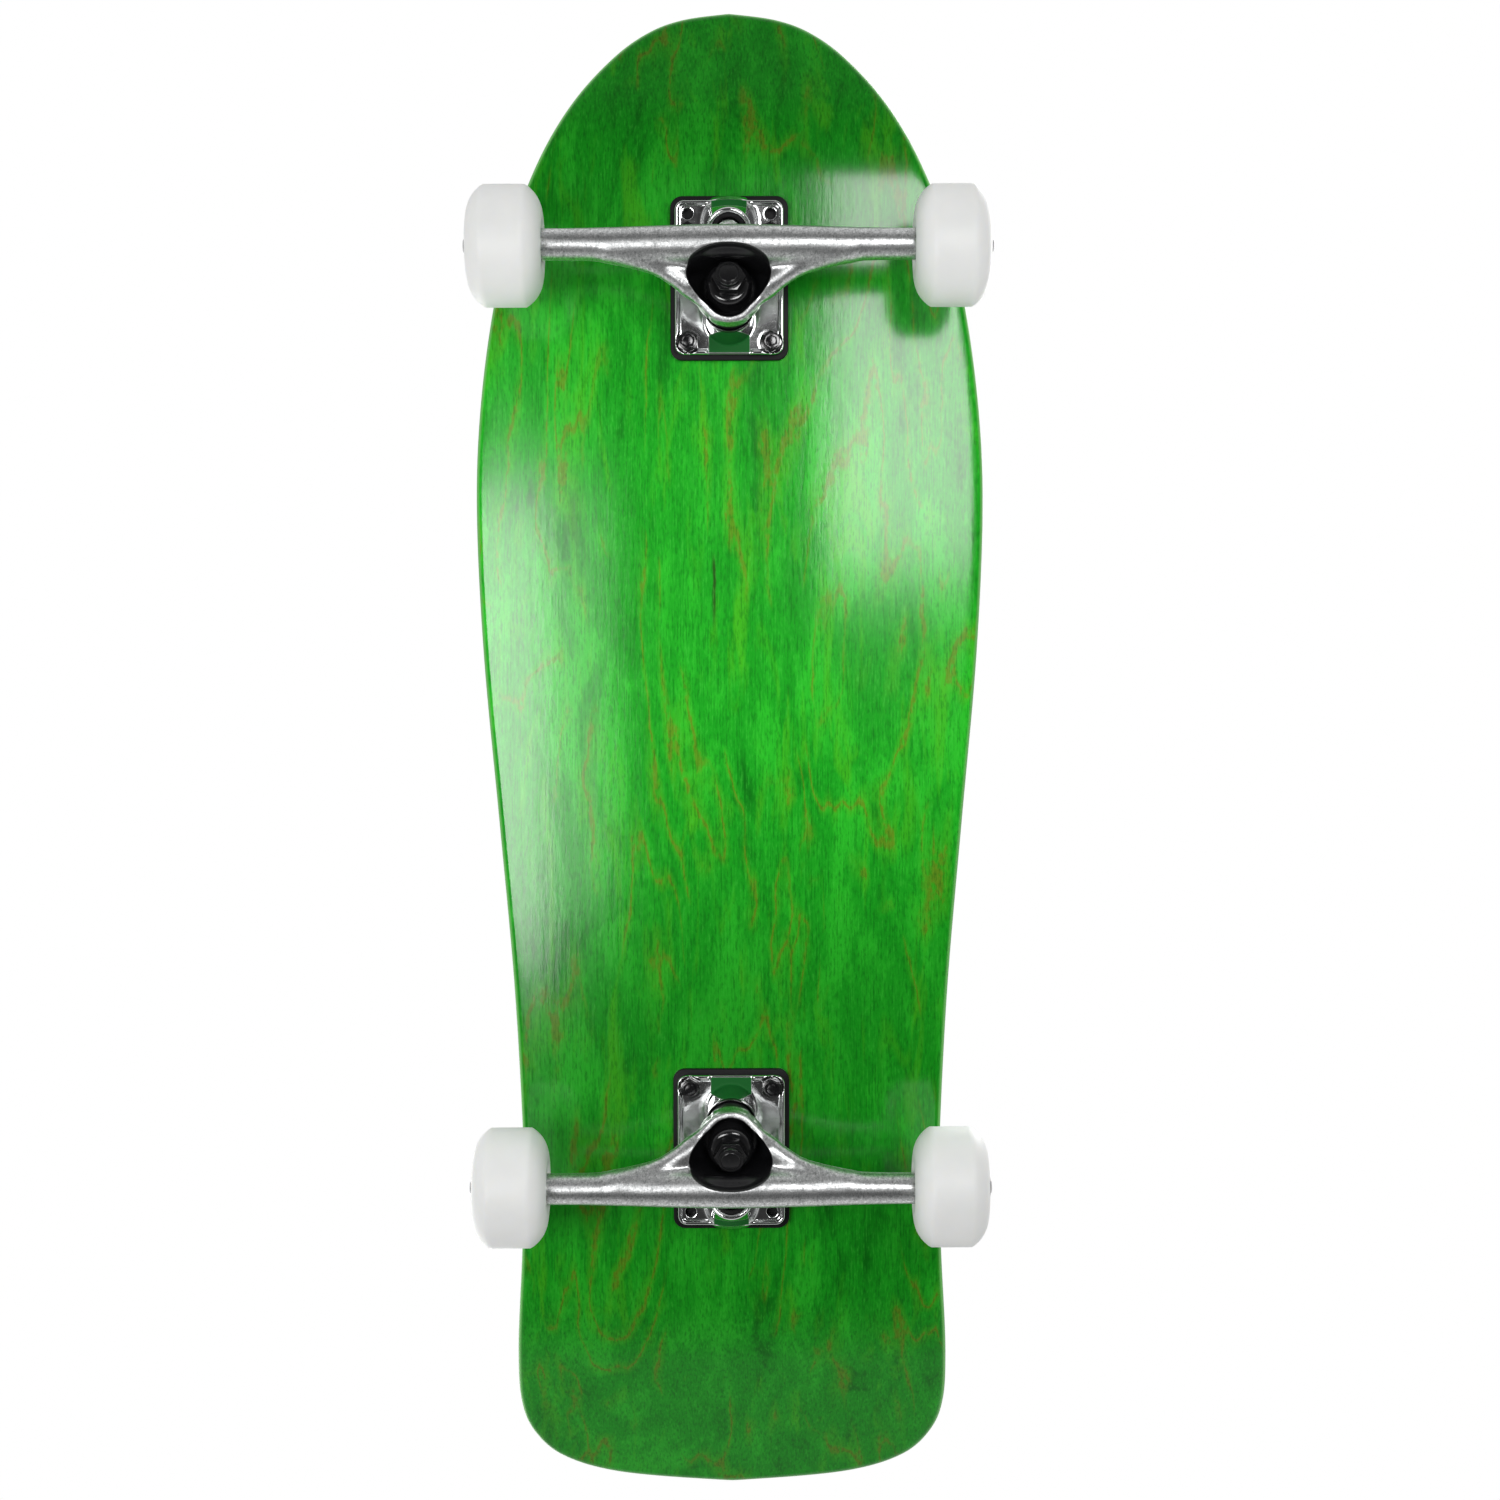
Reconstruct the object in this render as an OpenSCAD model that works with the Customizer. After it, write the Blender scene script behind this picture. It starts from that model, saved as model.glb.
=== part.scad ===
// Skateboard with a wide maple deck, two cast trucks and four ball-bearing wheels.
// +X runs to the nose, +Y to the rider's left, +Z up. Z = 0 is where the wheels rest.

/* [Deck] */
// Overall length, nose to tail
deck_length = 764; // [740:1:790]
// Overall width at the widest place
deck_width = 257.4; // [245:0.2:262]
// Thickness of the seven plies
deck_thickness = 11.2; // [10:0.1:12.5]
// Distance from wheel contact to the flat underside
deck_height = 85.2; // [84:0.1:88]
// How far the long edges rise above the middle
concave_depth = 5; // [0:0.5:9]
// Angle of the nose kick in degrees
nose_angle = 15.5; // [8:0.5:20]
// Angle of the tail kick in degrees
tail_angle = 21; // [10:0.5:26]
// Thickness of the grip sheet
grip_thickness = 0.9; // [0.6:0.1:1.5]

/* [Trucks] */
// Distance between the two inner rows of mounting bolts
wheelbase = 375; // [360:1:385]
// Place of the middle of the wheelbase, forward of the deck's middle
wheelbase_offset = 25; // [15:1:30]
// Length of the axle rod
axle_length = 254; // [250:1:260]
// Diameter of the axle rod
axle_diameter = 7.94; // [7.5:0.01:8]
// Diameter of the hanger where the wheels start
hanger_end_diameter = 15; // [14:0.5:17]
// Lean of the kingpin from the vertical in degrees
kingpin_lean = 17; // [14:0.5:19]
// Diameter of the kingpin
kingpin_diameter = 9.5; // [9:0.1:10]
// Spacing of the mounting bolts across the deck
bolt_spacing_y = 41.275; // [41:0.025:43]
// Spacing of the mounting bolts along the deck
bolt_spacing_x = 53.975; // [53:0.025:54]
// Spacing of the unused long pattern in the baseplate
old_spacing_x = 63.5; // [63:0.1:64]

/* [Wheels] */
// Diameter of the tread
wheel_diameter = 58; // [54:0.5:60]
// Width across the faces
wheel_width = 36; // [34:0.5:38]
// Width of the flat tread
tread_width = 20; // [16:0.5:24]
// Distance from the middle of the board to the middle of a wheel
wheel_track = 107; // [106:0.5:108]

/* [Hidden] */
$fn = 64;
hull_fn = 32;
eps = 0.01;

// deck surface: flat strip, then edges that rise; circular bends, then straight kicks
edge_inset = 3;
flat_strip = 30;
nose_kick_x = 290;
nose_bend_r = 185;
tail_kick_x = -250;
tail_bend_r = 164;
outline_steps = 3;
outline_length = 764;
outline_width = 257.4;
// half outline from nose to tail, as [distance along, half width]
outline_knots = [
    [382.0, 4.0], [378.9, 24.2], [372.3, 40.9], [359.3, 58.2], [336.5, 78.1], [305.7, 95.9],
    [266.5, 111.1], [225.3, 120.6], [175.5, 127.0], [124.5, 128.7], [53.9, 125.5], [-27.7, 118.3],
    [-110.3, 111.2], [-182.8, 107.4], [-217.0, 107.0], [-255.3, 108.2], [-305.6, 111.1],
    [-334.5, 110.6], [-353.0, 104.4], [-367.6, 89.4], [-377.0, 60.4], [-382.0, 10.4]
];
// places across the deck where its surface is set, as shares of the half width
cross_shares = [-1, -0.9, -0.78, -0.62, -0.45, -0.25, 0, 0.25, 0.45, 0.62, 0.78, 0.9, 1];

// truck, seen from its own axle: u runs to the middle of the board, z as the board's
axle_z = wheel_diameter / 2;
axle_to_bolts = 40;
riser_thickness = 3.2;
plate_z = deck_height - riser_thickness;
plate_thickness = 5;
flange_z = plate_z - plate_thickness;
// footprints of the riser and of the baseplate on it, from and to along the truck
riser_from = -33.2;
riser_to = 48.5;
riser_width = 59;
riser_corner = 6;
plate_from = -30;
plate_to = 46;
plate_width = 54;
plate_corner = 4.5;
bolt_r = 2.4;
bolt_hole_r = 2.75;
bolt_u = [axle_to_bolts, axle_to_bolts - bolt_spacing_x];
hole_u = [axle_to_bolts, axle_to_bolts - bolt_spacing_x, axle_to_bolts - old_spacing_x];

// kingpin stack, as distances along the kingpin from the plane of the baseplate
kingpin_u = 30.5;
head_from = 3;
head_to = 9;
seat_s = 16;
washer_t = 1.6;
board_bushing_t = 14;
ring_t = 5.6;
road_bushing_t = 10.5;
nut_t = 6;
nut_collar_t = 3.1;
ring_from = seat_s + washer_t + board_bushing_t;
ring_to = ring_from + ring_t;
road_washer_s = ring_to + road_bushing_t;
nut_s = road_washer_s + washer_t;
collar_s = nut_s + nut_t;
kingpin_end = collar_s + nut_collar_t + 0.7;
washer_r = 12;
road_washer_r = 10.9;
bushing_r = 11.2;
ring_hole_r = 7.5;
clearance = 0.3;

// cup of the hanger round the kingpin nut, which opens from a round foot at the ring to a
// rounded triangle at its rim, with one tip to the middle of the board; p runs from the
// kingpin along the board and y across it
cup_foot_r = 12.6;
cup_foot_outer_r = 15.2;
cup_rim_s = 46;
cup_tip_top = 3.7;
cup_side_top = 8.7;
cup_tip_p = 4.8;
cup_tip_r = 11.8;
cup_tip_wall = 3.5;
cup_side_p = -1.6;
cup_side_y = 10;
cup_side_r = 9.9;
cup_side_wall = 2.9;

// axle bar of the hanger, and the two balls that its flare follows from the cup to the waist
bar_mid_r = 9.8;
bar_mid_half = 21;
waist_y = 36;
waist_r = 8.7;
flare_in = [15, 22, 33];
flare_in_r = 4.5;
flare_out = [8, waist_y, 30];
flare_out_r = 3.8;
sleeve_y = 40;
sleeve_r = 5.7;

// pivot ball of the hanger in the cup of the baseplate
pivot_u = -15;
pivot_z = 70;
pivot_lean = 20;
pivot_r = 5.9;
pivot_gap = 0.1;
pivot_mouth = 5;

// wheel and bearing stack, as distances from the middle of the wheel
bearing_w = 7;
bearing_gap = 10;
bearing_r = 11;
bearing_bore_r = 4;
race_r = 7.5;
ball_r = 1.985;
groove_r = 2.05;
inner_shoulder_r = 6;
outer_shoulder_r = 9;
bearing_mid = bearing_gap / 2 + bearing_w / 2;
bearing_end = bearing_gap / 2 + bearing_w;
speed_washer_t = 0.8;
hanger_half = wheel_track - bearing_end - speed_washer_t;

// ---------- deck surface ----------

// rise of one kick at distance d past its start, and its slope there
function kick_rise(d, r, a) =
    d <= 0 ? 0 :
    d < r * sin(a) ? r - sqrt(r * r - d * d) :
    r * (1 - cos(a)) + (d - r * sin(a)) * tan(a);
function kick_slope(d, r, a) = d <= 0 ? 0 : tan(min(a, asin(min(1, d / r))));

function over_strip(y) = max(0, abs(y) - flat_strip) / (deck_width / 2 - flat_strip);
function concave(y) = concave_depth * pow(over_strip(y), 2);
function concave_slope(y) =
    2 * concave_depth * over_strip(y) / (deck_width / 2 - flat_strip) * sign(y);

function deck_z(x, y) =
    deck_height + concave(y)
    + kick_rise(x - nose_kick_x, nose_bend_r, nose_angle)
    + kick_rise(tail_kick_x - x, tail_bend_r, tail_angle);
function deck_slope(x) =
    kick_slope(x - nose_kick_x, nose_bend_r, nose_angle)
    - kick_slope(tail_kick_x - x, tail_bend_r, tail_angle);
function unit(v) = v / norm(v);
// point at depth d above the underside, square to the surface
function deck_point(x, y, d) =
    [x, y, deck_z(x, y)] + d * unit([-deck_slope(x), -concave_slope(y), 1]);

// ---------- deck outline ----------

function sized(p) = [p[0] * deck_length / outline_length, p[1] * deck_width / outline_width];
function mirrored(p) = [p[0], -p[1]];
last_knot = len(outline_knots) - 1;
function knot(i) =
    i < 0 ? mirrored(sized(outline_knots[1])) :
    i > last_knot ? mirrored(sized(outline_knots[last_knot - 1])) :
    sized(outline_knots[i]);
// smooth curve through the knots
function through(a, b, c, d, t) =
    0.5 * (2 * b + (c - a) * t + (2 * a - 5 * b + 4 * c - d) * t * t
           + (3 * b - a - 3 * c + d) * t * t * t);
outline = [
    for (i = [0 : last_knot - 1])
        for (j = [0 : outline_steps - 1])
            through(knot(i - 1), knot(i), knot(i + 1), knot(i + 2), j / outline_steps),
    knot(last_knot)
];
last_station = len(outline) - 1;
function along(i) =
    i == 0 ? [0, 1] :
    i == last_station ? [0, -1] :
    unit(outline[i + 1] - outline[i - 1]);
function outward(i) = [along(i)[1], -along(i)[0]];

// one line across the deck at station i, depth d, a set inset from the edge
function cross_line(i, d) =
    let (p = outline[i] - edge_inset * outward(i))
    [for (f = cross_shares) deck_point(p[0], f * p[1], d)];
function reversed(v) = [for (i = [len(v) - 1 : -1 : 0]) v[i]];
function edge_point(i, side, share) =
    deck_point(outline[i][0], side * outline[i][1], share * deck_thickness);

// closed solid through rings of points from nose to tail
module skin(rings, centres) {
    n = len(rings[0]);
    count = len(rings);
    points = concat([for (r = rings) for (p = r) p], centres);
    nose = count * n;
    tail = nose + 1;
    sides = [
        for (i = [0 : count - 2])
            for (k = [0 : n - 1])
                let (a = i * n + k, b = i * n + (k + 1) % n, c = b + n, d = a + n)
                each (k < len(cross_shares) ? [[a, b, d], [b, c, d]] : [[a, b, c], [a, c, d]])
    ];
    caps = [
        for (k = [0 : n - 1])
            each [
                [nose, (k + 1) % n, k],
                [tail, nose - n + k, nose - n + (k + 1) % n]
            ]
    ];
    polyhedron(points = points, faces = concat(sides, caps));
}

// ---------- placing ----------

// a truck's own frame: end is 1 at the nose and -1 at the tail
module truck(end) {
    translate([wheelbase_offset + end * (wheelbase / 2 + axle_to_bolts), 0, 0])
        rotate([0, 0, end > 0 ? 180 : 0])
            children();
}
// frame with +Z down the kingpin and +X towards the middle of the board
module on_kingpin() {
    translate([kingpin_u, 0, plate_z])
        rotate([0, kingpin_lean, 0])
            mirror([0, 0, 1])
                children();
}
// frame at the pivot ball with +Z out of the cup's mouth
module on_pivot() {
    translate([pivot_u, 0, pivot_z])
        rotate([0, -pivot_lean, 0])
            mirror([0, 0, 1])
                children();
}
// copies at the two ends of the axle, with +Z outwards from the middle of the board
module both_ends() {
    for (side = [-1, 1])
        axle_end(side) children();
}
module axle_end(side) {
    translate([0, 0, axle_z])
        rotate([side > 0 ? -90 : 90, 0, 0])
            children();
}
// copies at the two bearings of one wheel, with +Z along the axle
module both_bearings() {
    for (k = [-1, 1])
        translate([0, 0, wheel_track + k * bearing_mid]) children();
}
module at_bolts(places, z) {
    for (u = places)
        for (side = [-1, 1])
            translate([u, side * bolt_spacing_y / 2, z]) children();
}
module ring(r_out, r_in, z0, z1) {
    difference() {
        translate([0, 0, z0]) cylinder(r = r_out, h = z1 - z0);
        translate([0, 0, z0 - 1]) cylinder(r = r_in, h = z1 - z0 + 2);
    }
}
// flat plate with rounded corners, from u0 to u1 along the truck
module rounded_plate(u0, u1, width, r, h) {
    linear_extrude(h) {
        translate([u0 + r, -width / 2]) square([u1 - u0 - 2 * r, width]);
        translate([u0, -width / 2 + r]) square([u1 - u0, width - 2 * r]);
        for (u = [u0 + r, u1 - r])
            for (v = [-width / 2 + r, width / 2 - r])
                translate([u, v]) circle(r);
    }
}

// ---------- deck and grip ----------

module countersinks(z_top, r_top) {
    for (end = [-1, 1])
        truck(end)
            at_bolts(bolt_u, 0) {
                translate([0, 0, deck_height - 1]) cylinder(r = bolt_hole_r, h = 20);
                translate([0, 0, z_top - 3]) cylinder(r1 = bolt_hole_r, r2 = r_top, h = 3);
                translate([0, 0, z_top - eps]) cylinder(r = r_top, h = 5);
            }
}

module deck() {
    edge_shares = [0.28, 0.72];
    rings = [
        for (i = [0 : last_station])
            concat(
                cross_line(i, 0),
                [for (s = edge_shares) edge_point(i, 1, s)],
                reversed(cross_line(i, deck_thickness)),
                [for (s = reversed(edge_shares)) edge_point(i, -1, s)]
            )
    ];
    middle = deck_thickness / 2;
    color([0.16, 0.62, 0.2])
        difference() {
            skin(rings, [
                deck_point(deck_length / 2, 0, middle),
                deck_point(-deck_length / 2, 0, middle)
            ]);
            countersinks(deck_height + deck_thickness, 5.1);
        }
}

module griptape() {
    top = deck_thickness + grip_thickness;
    rings = [
        for (i = [0 : last_station])
            concat(cross_line(i, deck_thickness), reversed(cross_line(i, top)))
    ];
    middle = deck_thickness + grip_thickness / 2;
    color([0.07, 0.07, 0.08])
        difference() {
            skin(rings, [
                deck_point(deck_length / 2 - edge_inset, 0, middle),
                deck_point(edge_inset - deck_length / 2, 0, middle)
            ]);
            countersinks(deck_height + deck_thickness, 5.2);
        }
}

// ---------- board side of a truck ----------

module riser() {
    color([0.08, 0.08, 0.09])
        difference() {
            translate([0, 0, plate_z])
                rounded_plate(riser_from, riser_to, riser_width, riser_corner, riser_thickness);
            at_bolts(bolt_u, plate_z - 1) cylinder(r = bolt_hole_r, h = riser_thickness + 2);
        }
}

module baseplate() {
    rim = 1.6;
    rim_height = 1.3;
    rib_y = 11;
    rib_t = 2.4;
    lip_room = 1.4;
    wedge_from = flange_z + 1;
    ramp = [[45.4, wedge_from], [45.4, flange_z], [35.5, 63.6], [24, 63.6], [16, flange_z],
            [16, wedge_from]];
    rib = [[plate_to, wedge_from], [plate_to, flange_z - 2.2], [36.5, 66.5], [20, 70],
           [12, flange_z], [12, wedge_from]];
    color([0.78, 0.79, 0.8])
        difference() {
            union() {
                translate([0, 0, flange_z])
                    rounded_plate(plate_from, plate_to, plate_width, plate_corner, plate_thickness);
                // raised rim round the flange
                difference() {
                    translate([0, 0, flange_z - rim_height])
                        rounded_plate(plate_from, plate_to, plate_width, plate_corner,
                                      rim_height + eps);
                    translate([0, 0, flange_z - rim_height - 1])
                        rounded_plate(plate_from + rim, plate_to - rim, plate_width - 2 * rim,
                                      plate_corner - 1, rim_height + 1);
                    translate([plate_to - 10, -rib_y, flange_z - rim_height - 1])
                        cube([12, 2 * rib_y, rim_height + 1]);
                }
                // seat of the lower bushing, with its ramp and the two ribs beside it
                intersection() {
                    on_kingpin() translate([0, 0, -6]) cylinder(r = washer_r, h = seat_s + 6);
                    translate([0, -30, plate_z - 40]) cube([60, 60, 40]);
                }
                wedge(rib_y, ramp);
                for (side = [-1, 1])
                    translate([0, side * (rib_y + rib_t / 2), 0]) wedge(rib_t / 2, rib);
                // boss round the pivot cup
                intersection() {
                    on_pivot() translate([0, 0, -14])
                        cylinder(r1 = 15, r2 = 11, h = 14 + pivot_mouth - 0.5);
                    translate([-30, -30, plate_z - 40]) cube([60, 60, 40]);
                }
            }
            at_bolts(hole_u, flange_z - 5) cylinder(r = bolt_hole_r, h = plate_thickness + 10);
            // flats for the lock nuts and the bolts
            at_bolts([axle_to_bolts], flange_z - 10) cylinder(r = 5.9, h = 10);
            on_kingpin() {
                translate([0, 0, -5]) cylinder(r = kingpin_diameter / 2 + 0.1, h = 30);
                translate([0, 0, -8]) cylinder(r = 8.5, h = 8 + head_to, $fn = 6);
                // room for the lip of the cup washer between the ribs
                translate([0, 0, seat_s]) cylinder(r = washer_r + lip_room, h = 30);
            }
            on_pivot() translate([0, 0, -7.5]) cylinder(r = 8.5, h = 20);
        }
}
// outline in the side view, extruded to both sides of the middle
module wedge(half_width, profile) {
    translate([0, half_width, 0])
        rotate([90, 0, 0])
            linear_extrude(2 * half_width) polygon(profile);
}

module pivot_cup() {
    color([0.1, 0.1, 0.1])
        on_pivot()
            difference() {
                translate([0, 0, -7.5]) cylinder(r = 8.5, h = 7.5 + pivot_mouth);
                sphere(r = pivot_r + pivot_gap);
                translate([0, 0, 1]) cylinder(r = pivot_r + 0.5, h = 10);
            }
}

module kingpin() {
    color([0.2, 0.2, 0.21])
        on_kingpin() {
            translate([0, 0, head_from]) cylinder(r = kingpin_diameter / 2, h = kingpin_end - head_from);
            translate([0, 0, head_from]) cylinder(r = 8.25, h = head_to - head_from, $fn = 6);
        }
}

// cup washer with its lip on the side of the bushing: up is 1 when the lip points along +Z
module cup_washer(s, up) {
    color([0.12, 0.12, 0.13])
        on_kingpin()
            translate([0, 0, s])
                rotate_extrude()
                    polygon(up > 0
                        ? [[4.9, 0], [washer_r, 0], [washer_r + 0.5, 3], [washer_r - 0.4, 3],
                           [washer_r - 0.7, washer_t], [4.9, washer_t]]
                        : [[4.9, washer_t], [road_washer_r, washer_t], [road_washer_r + 0.5, washer_t - 3],
                           [road_washer_r - 0.4, washer_t - 3], [road_washer_r - 0.7, 0], [4.9, 0]]);
}

module board_bushing() {
    s = seat_s + washer_t;
    color([0.09, 0.09, 0.1])
        on_kingpin()
            rotate_extrude()
                polygon([[5, s], [bushing_r - 0.4, s], [bushing_r, s + 1.5], [bushing_r, ring_from - 1.2],
                         [bushing_r - 0.8, ring_from], [5, ring_from]]);
}

module road_bushing() {
    color([0.09, 0.09, 0.1])
        on_kingpin()
            rotate_extrude()
                polygon([[5, ring_to], [bushing_r - 0.6, ring_to], [bushing_r, ring_to + 1.4],
                         [9.6, road_washer_s - 1], [9, road_washer_s], [5, road_washer_s]]);
}

module kingpin_nut() {
    color([0.1, 0.1, 0.11])
        on_kingpin()
            difference() {
                union() {
                    translate([0, 0, nut_s]) rotate([0, 0, 30]) cylinder(r = 8.25, h = nut_t, $fn = 6);
                    translate([0, 0, nut_s + nut_t - 1]) cylinder(r = 6.1, h = nut_collar_t + 1);
                }
                translate([0, 0, nut_s - 1]) cylinder(r = kingpin_diameter / 2, h = 20);
            }
}

module mount_bolts() {
    head_top = deck_height + deck_thickness + grip_thickness - 0.2;
    color([0.12, 0.12, 0.13])
        at_bolts(bolt_u, 0)
            difference() {
                union() {
                    translate([0, 0, flange_z - 6.5]) cylinder(r = bolt_r, h = head_top - flange_z + 6.5);
                    translate([0, 0, head_top - 3.2]) cylinder(r1 = bolt_r, r2 = 4.8, h = 2.8);
                    translate([0, 0, head_top - 0.4 - eps]) cylinder(r = 4.8, h = 0.4 + eps);
                }
                // cross recess in the head
                for (turn = [0, 90])
                    rotate([0, 0, turn]) translate([-2.4, -0.5, head_top - 1.8]) cube([4.8, 1, 3]);
            }
}

module mount_nuts() {
    color([0.1, 0.1, 0.11])
        at_bolts(bolt_u, flange_z - 5.2)
            difference() {
                union() {
                    translate([0, 0, 1.6]) cylinder(r = 5.45, h = 3.6, $fn = 6);
                    cylinder(r = 4.1, h = 2.6);
                }
                translate([0, 0, -1]) cylinder(r = bolt_r, h = 8);
            }
}

// ---------- hanger side of a truck ----------

module bar(r, y0, y1) {
    translate([0, y0, axle_z]) rotate([-90, 0, 0]) cylinder(r = r, h = y1 - y0, $fn = hull_fn);
}

module hanger() {
    end_r = hanger_end_diameter / 2;
    color([0.74, 0.75, 0.76])
        difference() {
            union() {
                difference() {
                    union() {
                        yoke();
                        for (side = [-1, 1]) on_side(side) shoulder(end_r);
                        pivot_stem();
                    }
                    // open cup round the kingpin nut
                    on_kingpin() hull() {
                        translate([0, 0, ring_to])
                            cylinder(r = cup_foot_r, h = cup_rim_s + 4 - ring_to, $fn = hull_fn);
                        for (side = [-1, 1])
                            translate([cup_side_p, side * cup_side_y, cup_rim_s])
                                cylinder(r = cup_side_r, h = 30, $fn = hull_fn);
                        translate([cup_tip_p, 0, cup_rim_s])
                            cylinder(r = cup_tip_r, h = 30, $fn = hull_fn);
                    }
                }
                for (side = [-1, 1])
                    axle_end(side)
                        translate([0, 0, sleeve_y]) cylinder(r = end_r, h = hanger_half - sleeve_y);
                translate([0, -sleeve_y - 1, axle_z])
                    rotate([-90, 0, 0]) cylinder(r = sleeve_r, h = 2 * sleeve_y + 2);
            }
            translate([0, -axle_length / 2, axle_z])
                rotate([-90, 0, 0]) cylinder(r = axle_diameter / 2 + 0.02, h = axle_length);
            on_kingpin() {
                translate([0, 0, ring_from - 5]) cylinder(r = ring_hole_r, h = 12);
                // seat of the lower bushing
                translate([0, 0, seat_s]) cylinder(r = bushing_r + clearance, h = ring_from - seat_s);
            }
        }
}
// flips its children to one side of the board
module on_side(side) {
    mirror([0, side > 0 ? 0 : 1, 0]) children();
}
// middle of the hanger: axle bar, ring and the walls of the cup in one smooth lump
module yoke() {
    hull() {
        bar(bar_mid_r, -bar_mid_half, bar_mid_half);
        on_kingpin() {
            translate([0, 0, ring_from]) cylinder(r = cup_foot_outer_r, h = 4, $fn = hull_fn);
            translate([cup_tip_p, 0, cup_rim_s])
                cylinder(r = cup_tip_r + cup_tip_wall, h = cup_tip_top, $fn = hull_fn);
            for (side = [-1, 1])
                translate([cup_side_p, side * cup_side_y, cup_rim_s])
                    cylinder(r = cup_side_r + cup_side_wall, h = cup_side_top, $fn = hull_fn);
        }
    }
}
// one arm of the hanger, flaring from the bar into the yoke
module shoulder(end_r) {
    hull() {
        bar(bar_mid_r, bar_mid_half - 3, bar_mid_half);
        translate(flare_in) sphere(r = flare_in_r, $fn = hull_fn);
        bar(waist_r, waist_y, waist_y + 1);
        translate(flare_out) sphere(r = flare_out_r, $fn = hull_fn);
    }
    hull() {
        bar(waist_r, waist_y - 1, waist_y + 1);
        translate(flare_out) sphere(r = flare_out_r, $fn = hull_fn);
        bar(end_r, 59, 60);
    }
}
// neck that carries the pivot ball
module pivot_stem() {
    on_pivot() {
        sphere(r = pivot_r);
        translate([0, 0, 2]) cylinder(r = 4.9, h = 12);
    }
    hull() {
        on_pivot() translate([0, 0, 9]) cylinder(r1 = 5.2, r2 = 8, h = 6, $fn = hull_fn);
        bar(8, -13, 13);
        on_kingpin() translate([0, 0, ring_from]) cylinder(r = 12, h = 4, $fn = hull_fn);
    }
}

module axle() {
    chamfer = 1;
    r = axle_diameter / 2;
    color([0.6, 0.6, 0.61])
        translate([0, 0, axle_z])
            rotate([-90, 0, 0])
                rotate_extrude()
                    polygon([[0, -axle_length / 2], [r - chamfer, -axle_length / 2],
                             [r, chamfer - axle_length / 2], [r, axle_length / 2 - chamfer],
                             [r - chamfer, axle_length / 2], [0, axle_length / 2]]);
}

module axle_nuts() {
    from = wheel_track + bearing_end + speed_washer_t;
    color([0.1, 0.1, 0.11])
        both_ends()
            difference() {
                union() {
                    translate([0, 0, from]) cylinder(r = 7.3, h = 4.4, $fn = 6);
                    translate([0, 0, from + 3]) cylinder(r = 5.6, h = 3.4);
                }
                translate([0, 0, from - 1]) cylinder(r = axle_diameter / 2, h = 10);
            }
}

module speed_washers() {
    color([0.35, 0.35, 0.36])
        both_ends() {
            ring(6.2, axle_diameter / 2 + 0.05, hanger_half, hanger_half + speed_washer_t);
            ring(6.2, axle_diameter / 2 + 0.05, wheel_track + bearing_end,
                 wheel_track + bearing_end + speed_washer_t);
        }
}

// ---------- wheel ----------

module wheel() {
    half = wheel_width / 2;
    flat = tread_width / 2;
    r = wheel_diameter / 2;
    side_r = 14.5;
    bulge = 2.2;
    steps = 10;
    // side of the tyre from tread to face, bulged outwards
    side = [
        for (k = [0 : steps])
            let (t = k / steps, b = bulge * 4 * t * (1 - t))
            [r + (side_r - r) * t + b * 0.47, flat + (half - flat) * t + b * 0.88]
    ];
    section = concat(
        [for (p = side) [p[0], -p[1]]],
        [[12.6, -half], [bearing_r, 0.8 - half], [bearing_r, -bearing_gap / 2], [8.5, -bearing_gap / 2],
         [8.5, bearing_gap / 2], [bearing_r, bearing_gap / 2], [bearing_r, half - 0.8], [12.6, half]],
        reversed(side)
    );
    color([0.9, 0.9, 0.88])
        translate([0, 0, wheel_track]) rotate_extrude() polygon(section);
}

module bearing_outers() {
    color([0.7, 0.7, 0.71])
        both_bearings()
            rotate_extrude()
                difference() {
                    translate([outer_shoulder_r, -bearing_w / 2])
                        square([bearing_r - outer_shoulder_r, bearing_w]);
                    translate([race_r, 0]) circle(groove_r);
                }
}

module bearing_inners() {
    color([0.7, 0.7, 0.71])
        both_bearings()
            rotate_extrude()
                difference() {
                    translate([bearing_bore_r, -bearing_w / 2])
                        square([inner_shoulder_r - bearing_bore_r, bearing_w]);
                    translate([race_r, 0]) circle(groove_r);
                }
}

module bearing_balls() {
    count = 7;
    color([0.8, 0.8, 0.81])
        both_bearings() {
            for (k = [0 : count - 1])
                rotate([0, 0, k * 360 / count]) translate([race_r, 0, 0]) sphere(r = ball_r);
            // cage
            difference() {
                ring(8.1, 6.9, -2.5, 2.5);
                for (k = [0 : count - 1])
                    rotate([0, 90, k * 360 / count]) cylinder(r = groove_r, h = 10);
            }
        }
}

module bearing_shields() {
    shield_t = 0.3;
    color([0.15, 0.15, 0.16])
        both_bearings()
            for (k = [-1, 1])
                translate([0, 0, k * (bearing_w / 2 - 0.4)])
                    ring(outer_shoulder_r, inner_shoulder_r + 0.3, -shield_t / 2, shield_t / 2);
}

module spacer() {
    color([0.72, 0.72, 0.73])
        ring(6, axle_diameter / 2 + 0.05, wheel_track - bearing_gap / 2, wheel_track + bearing_gap / 2);
}

// ---------- assembly ----------

deck();
griptape();

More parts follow.
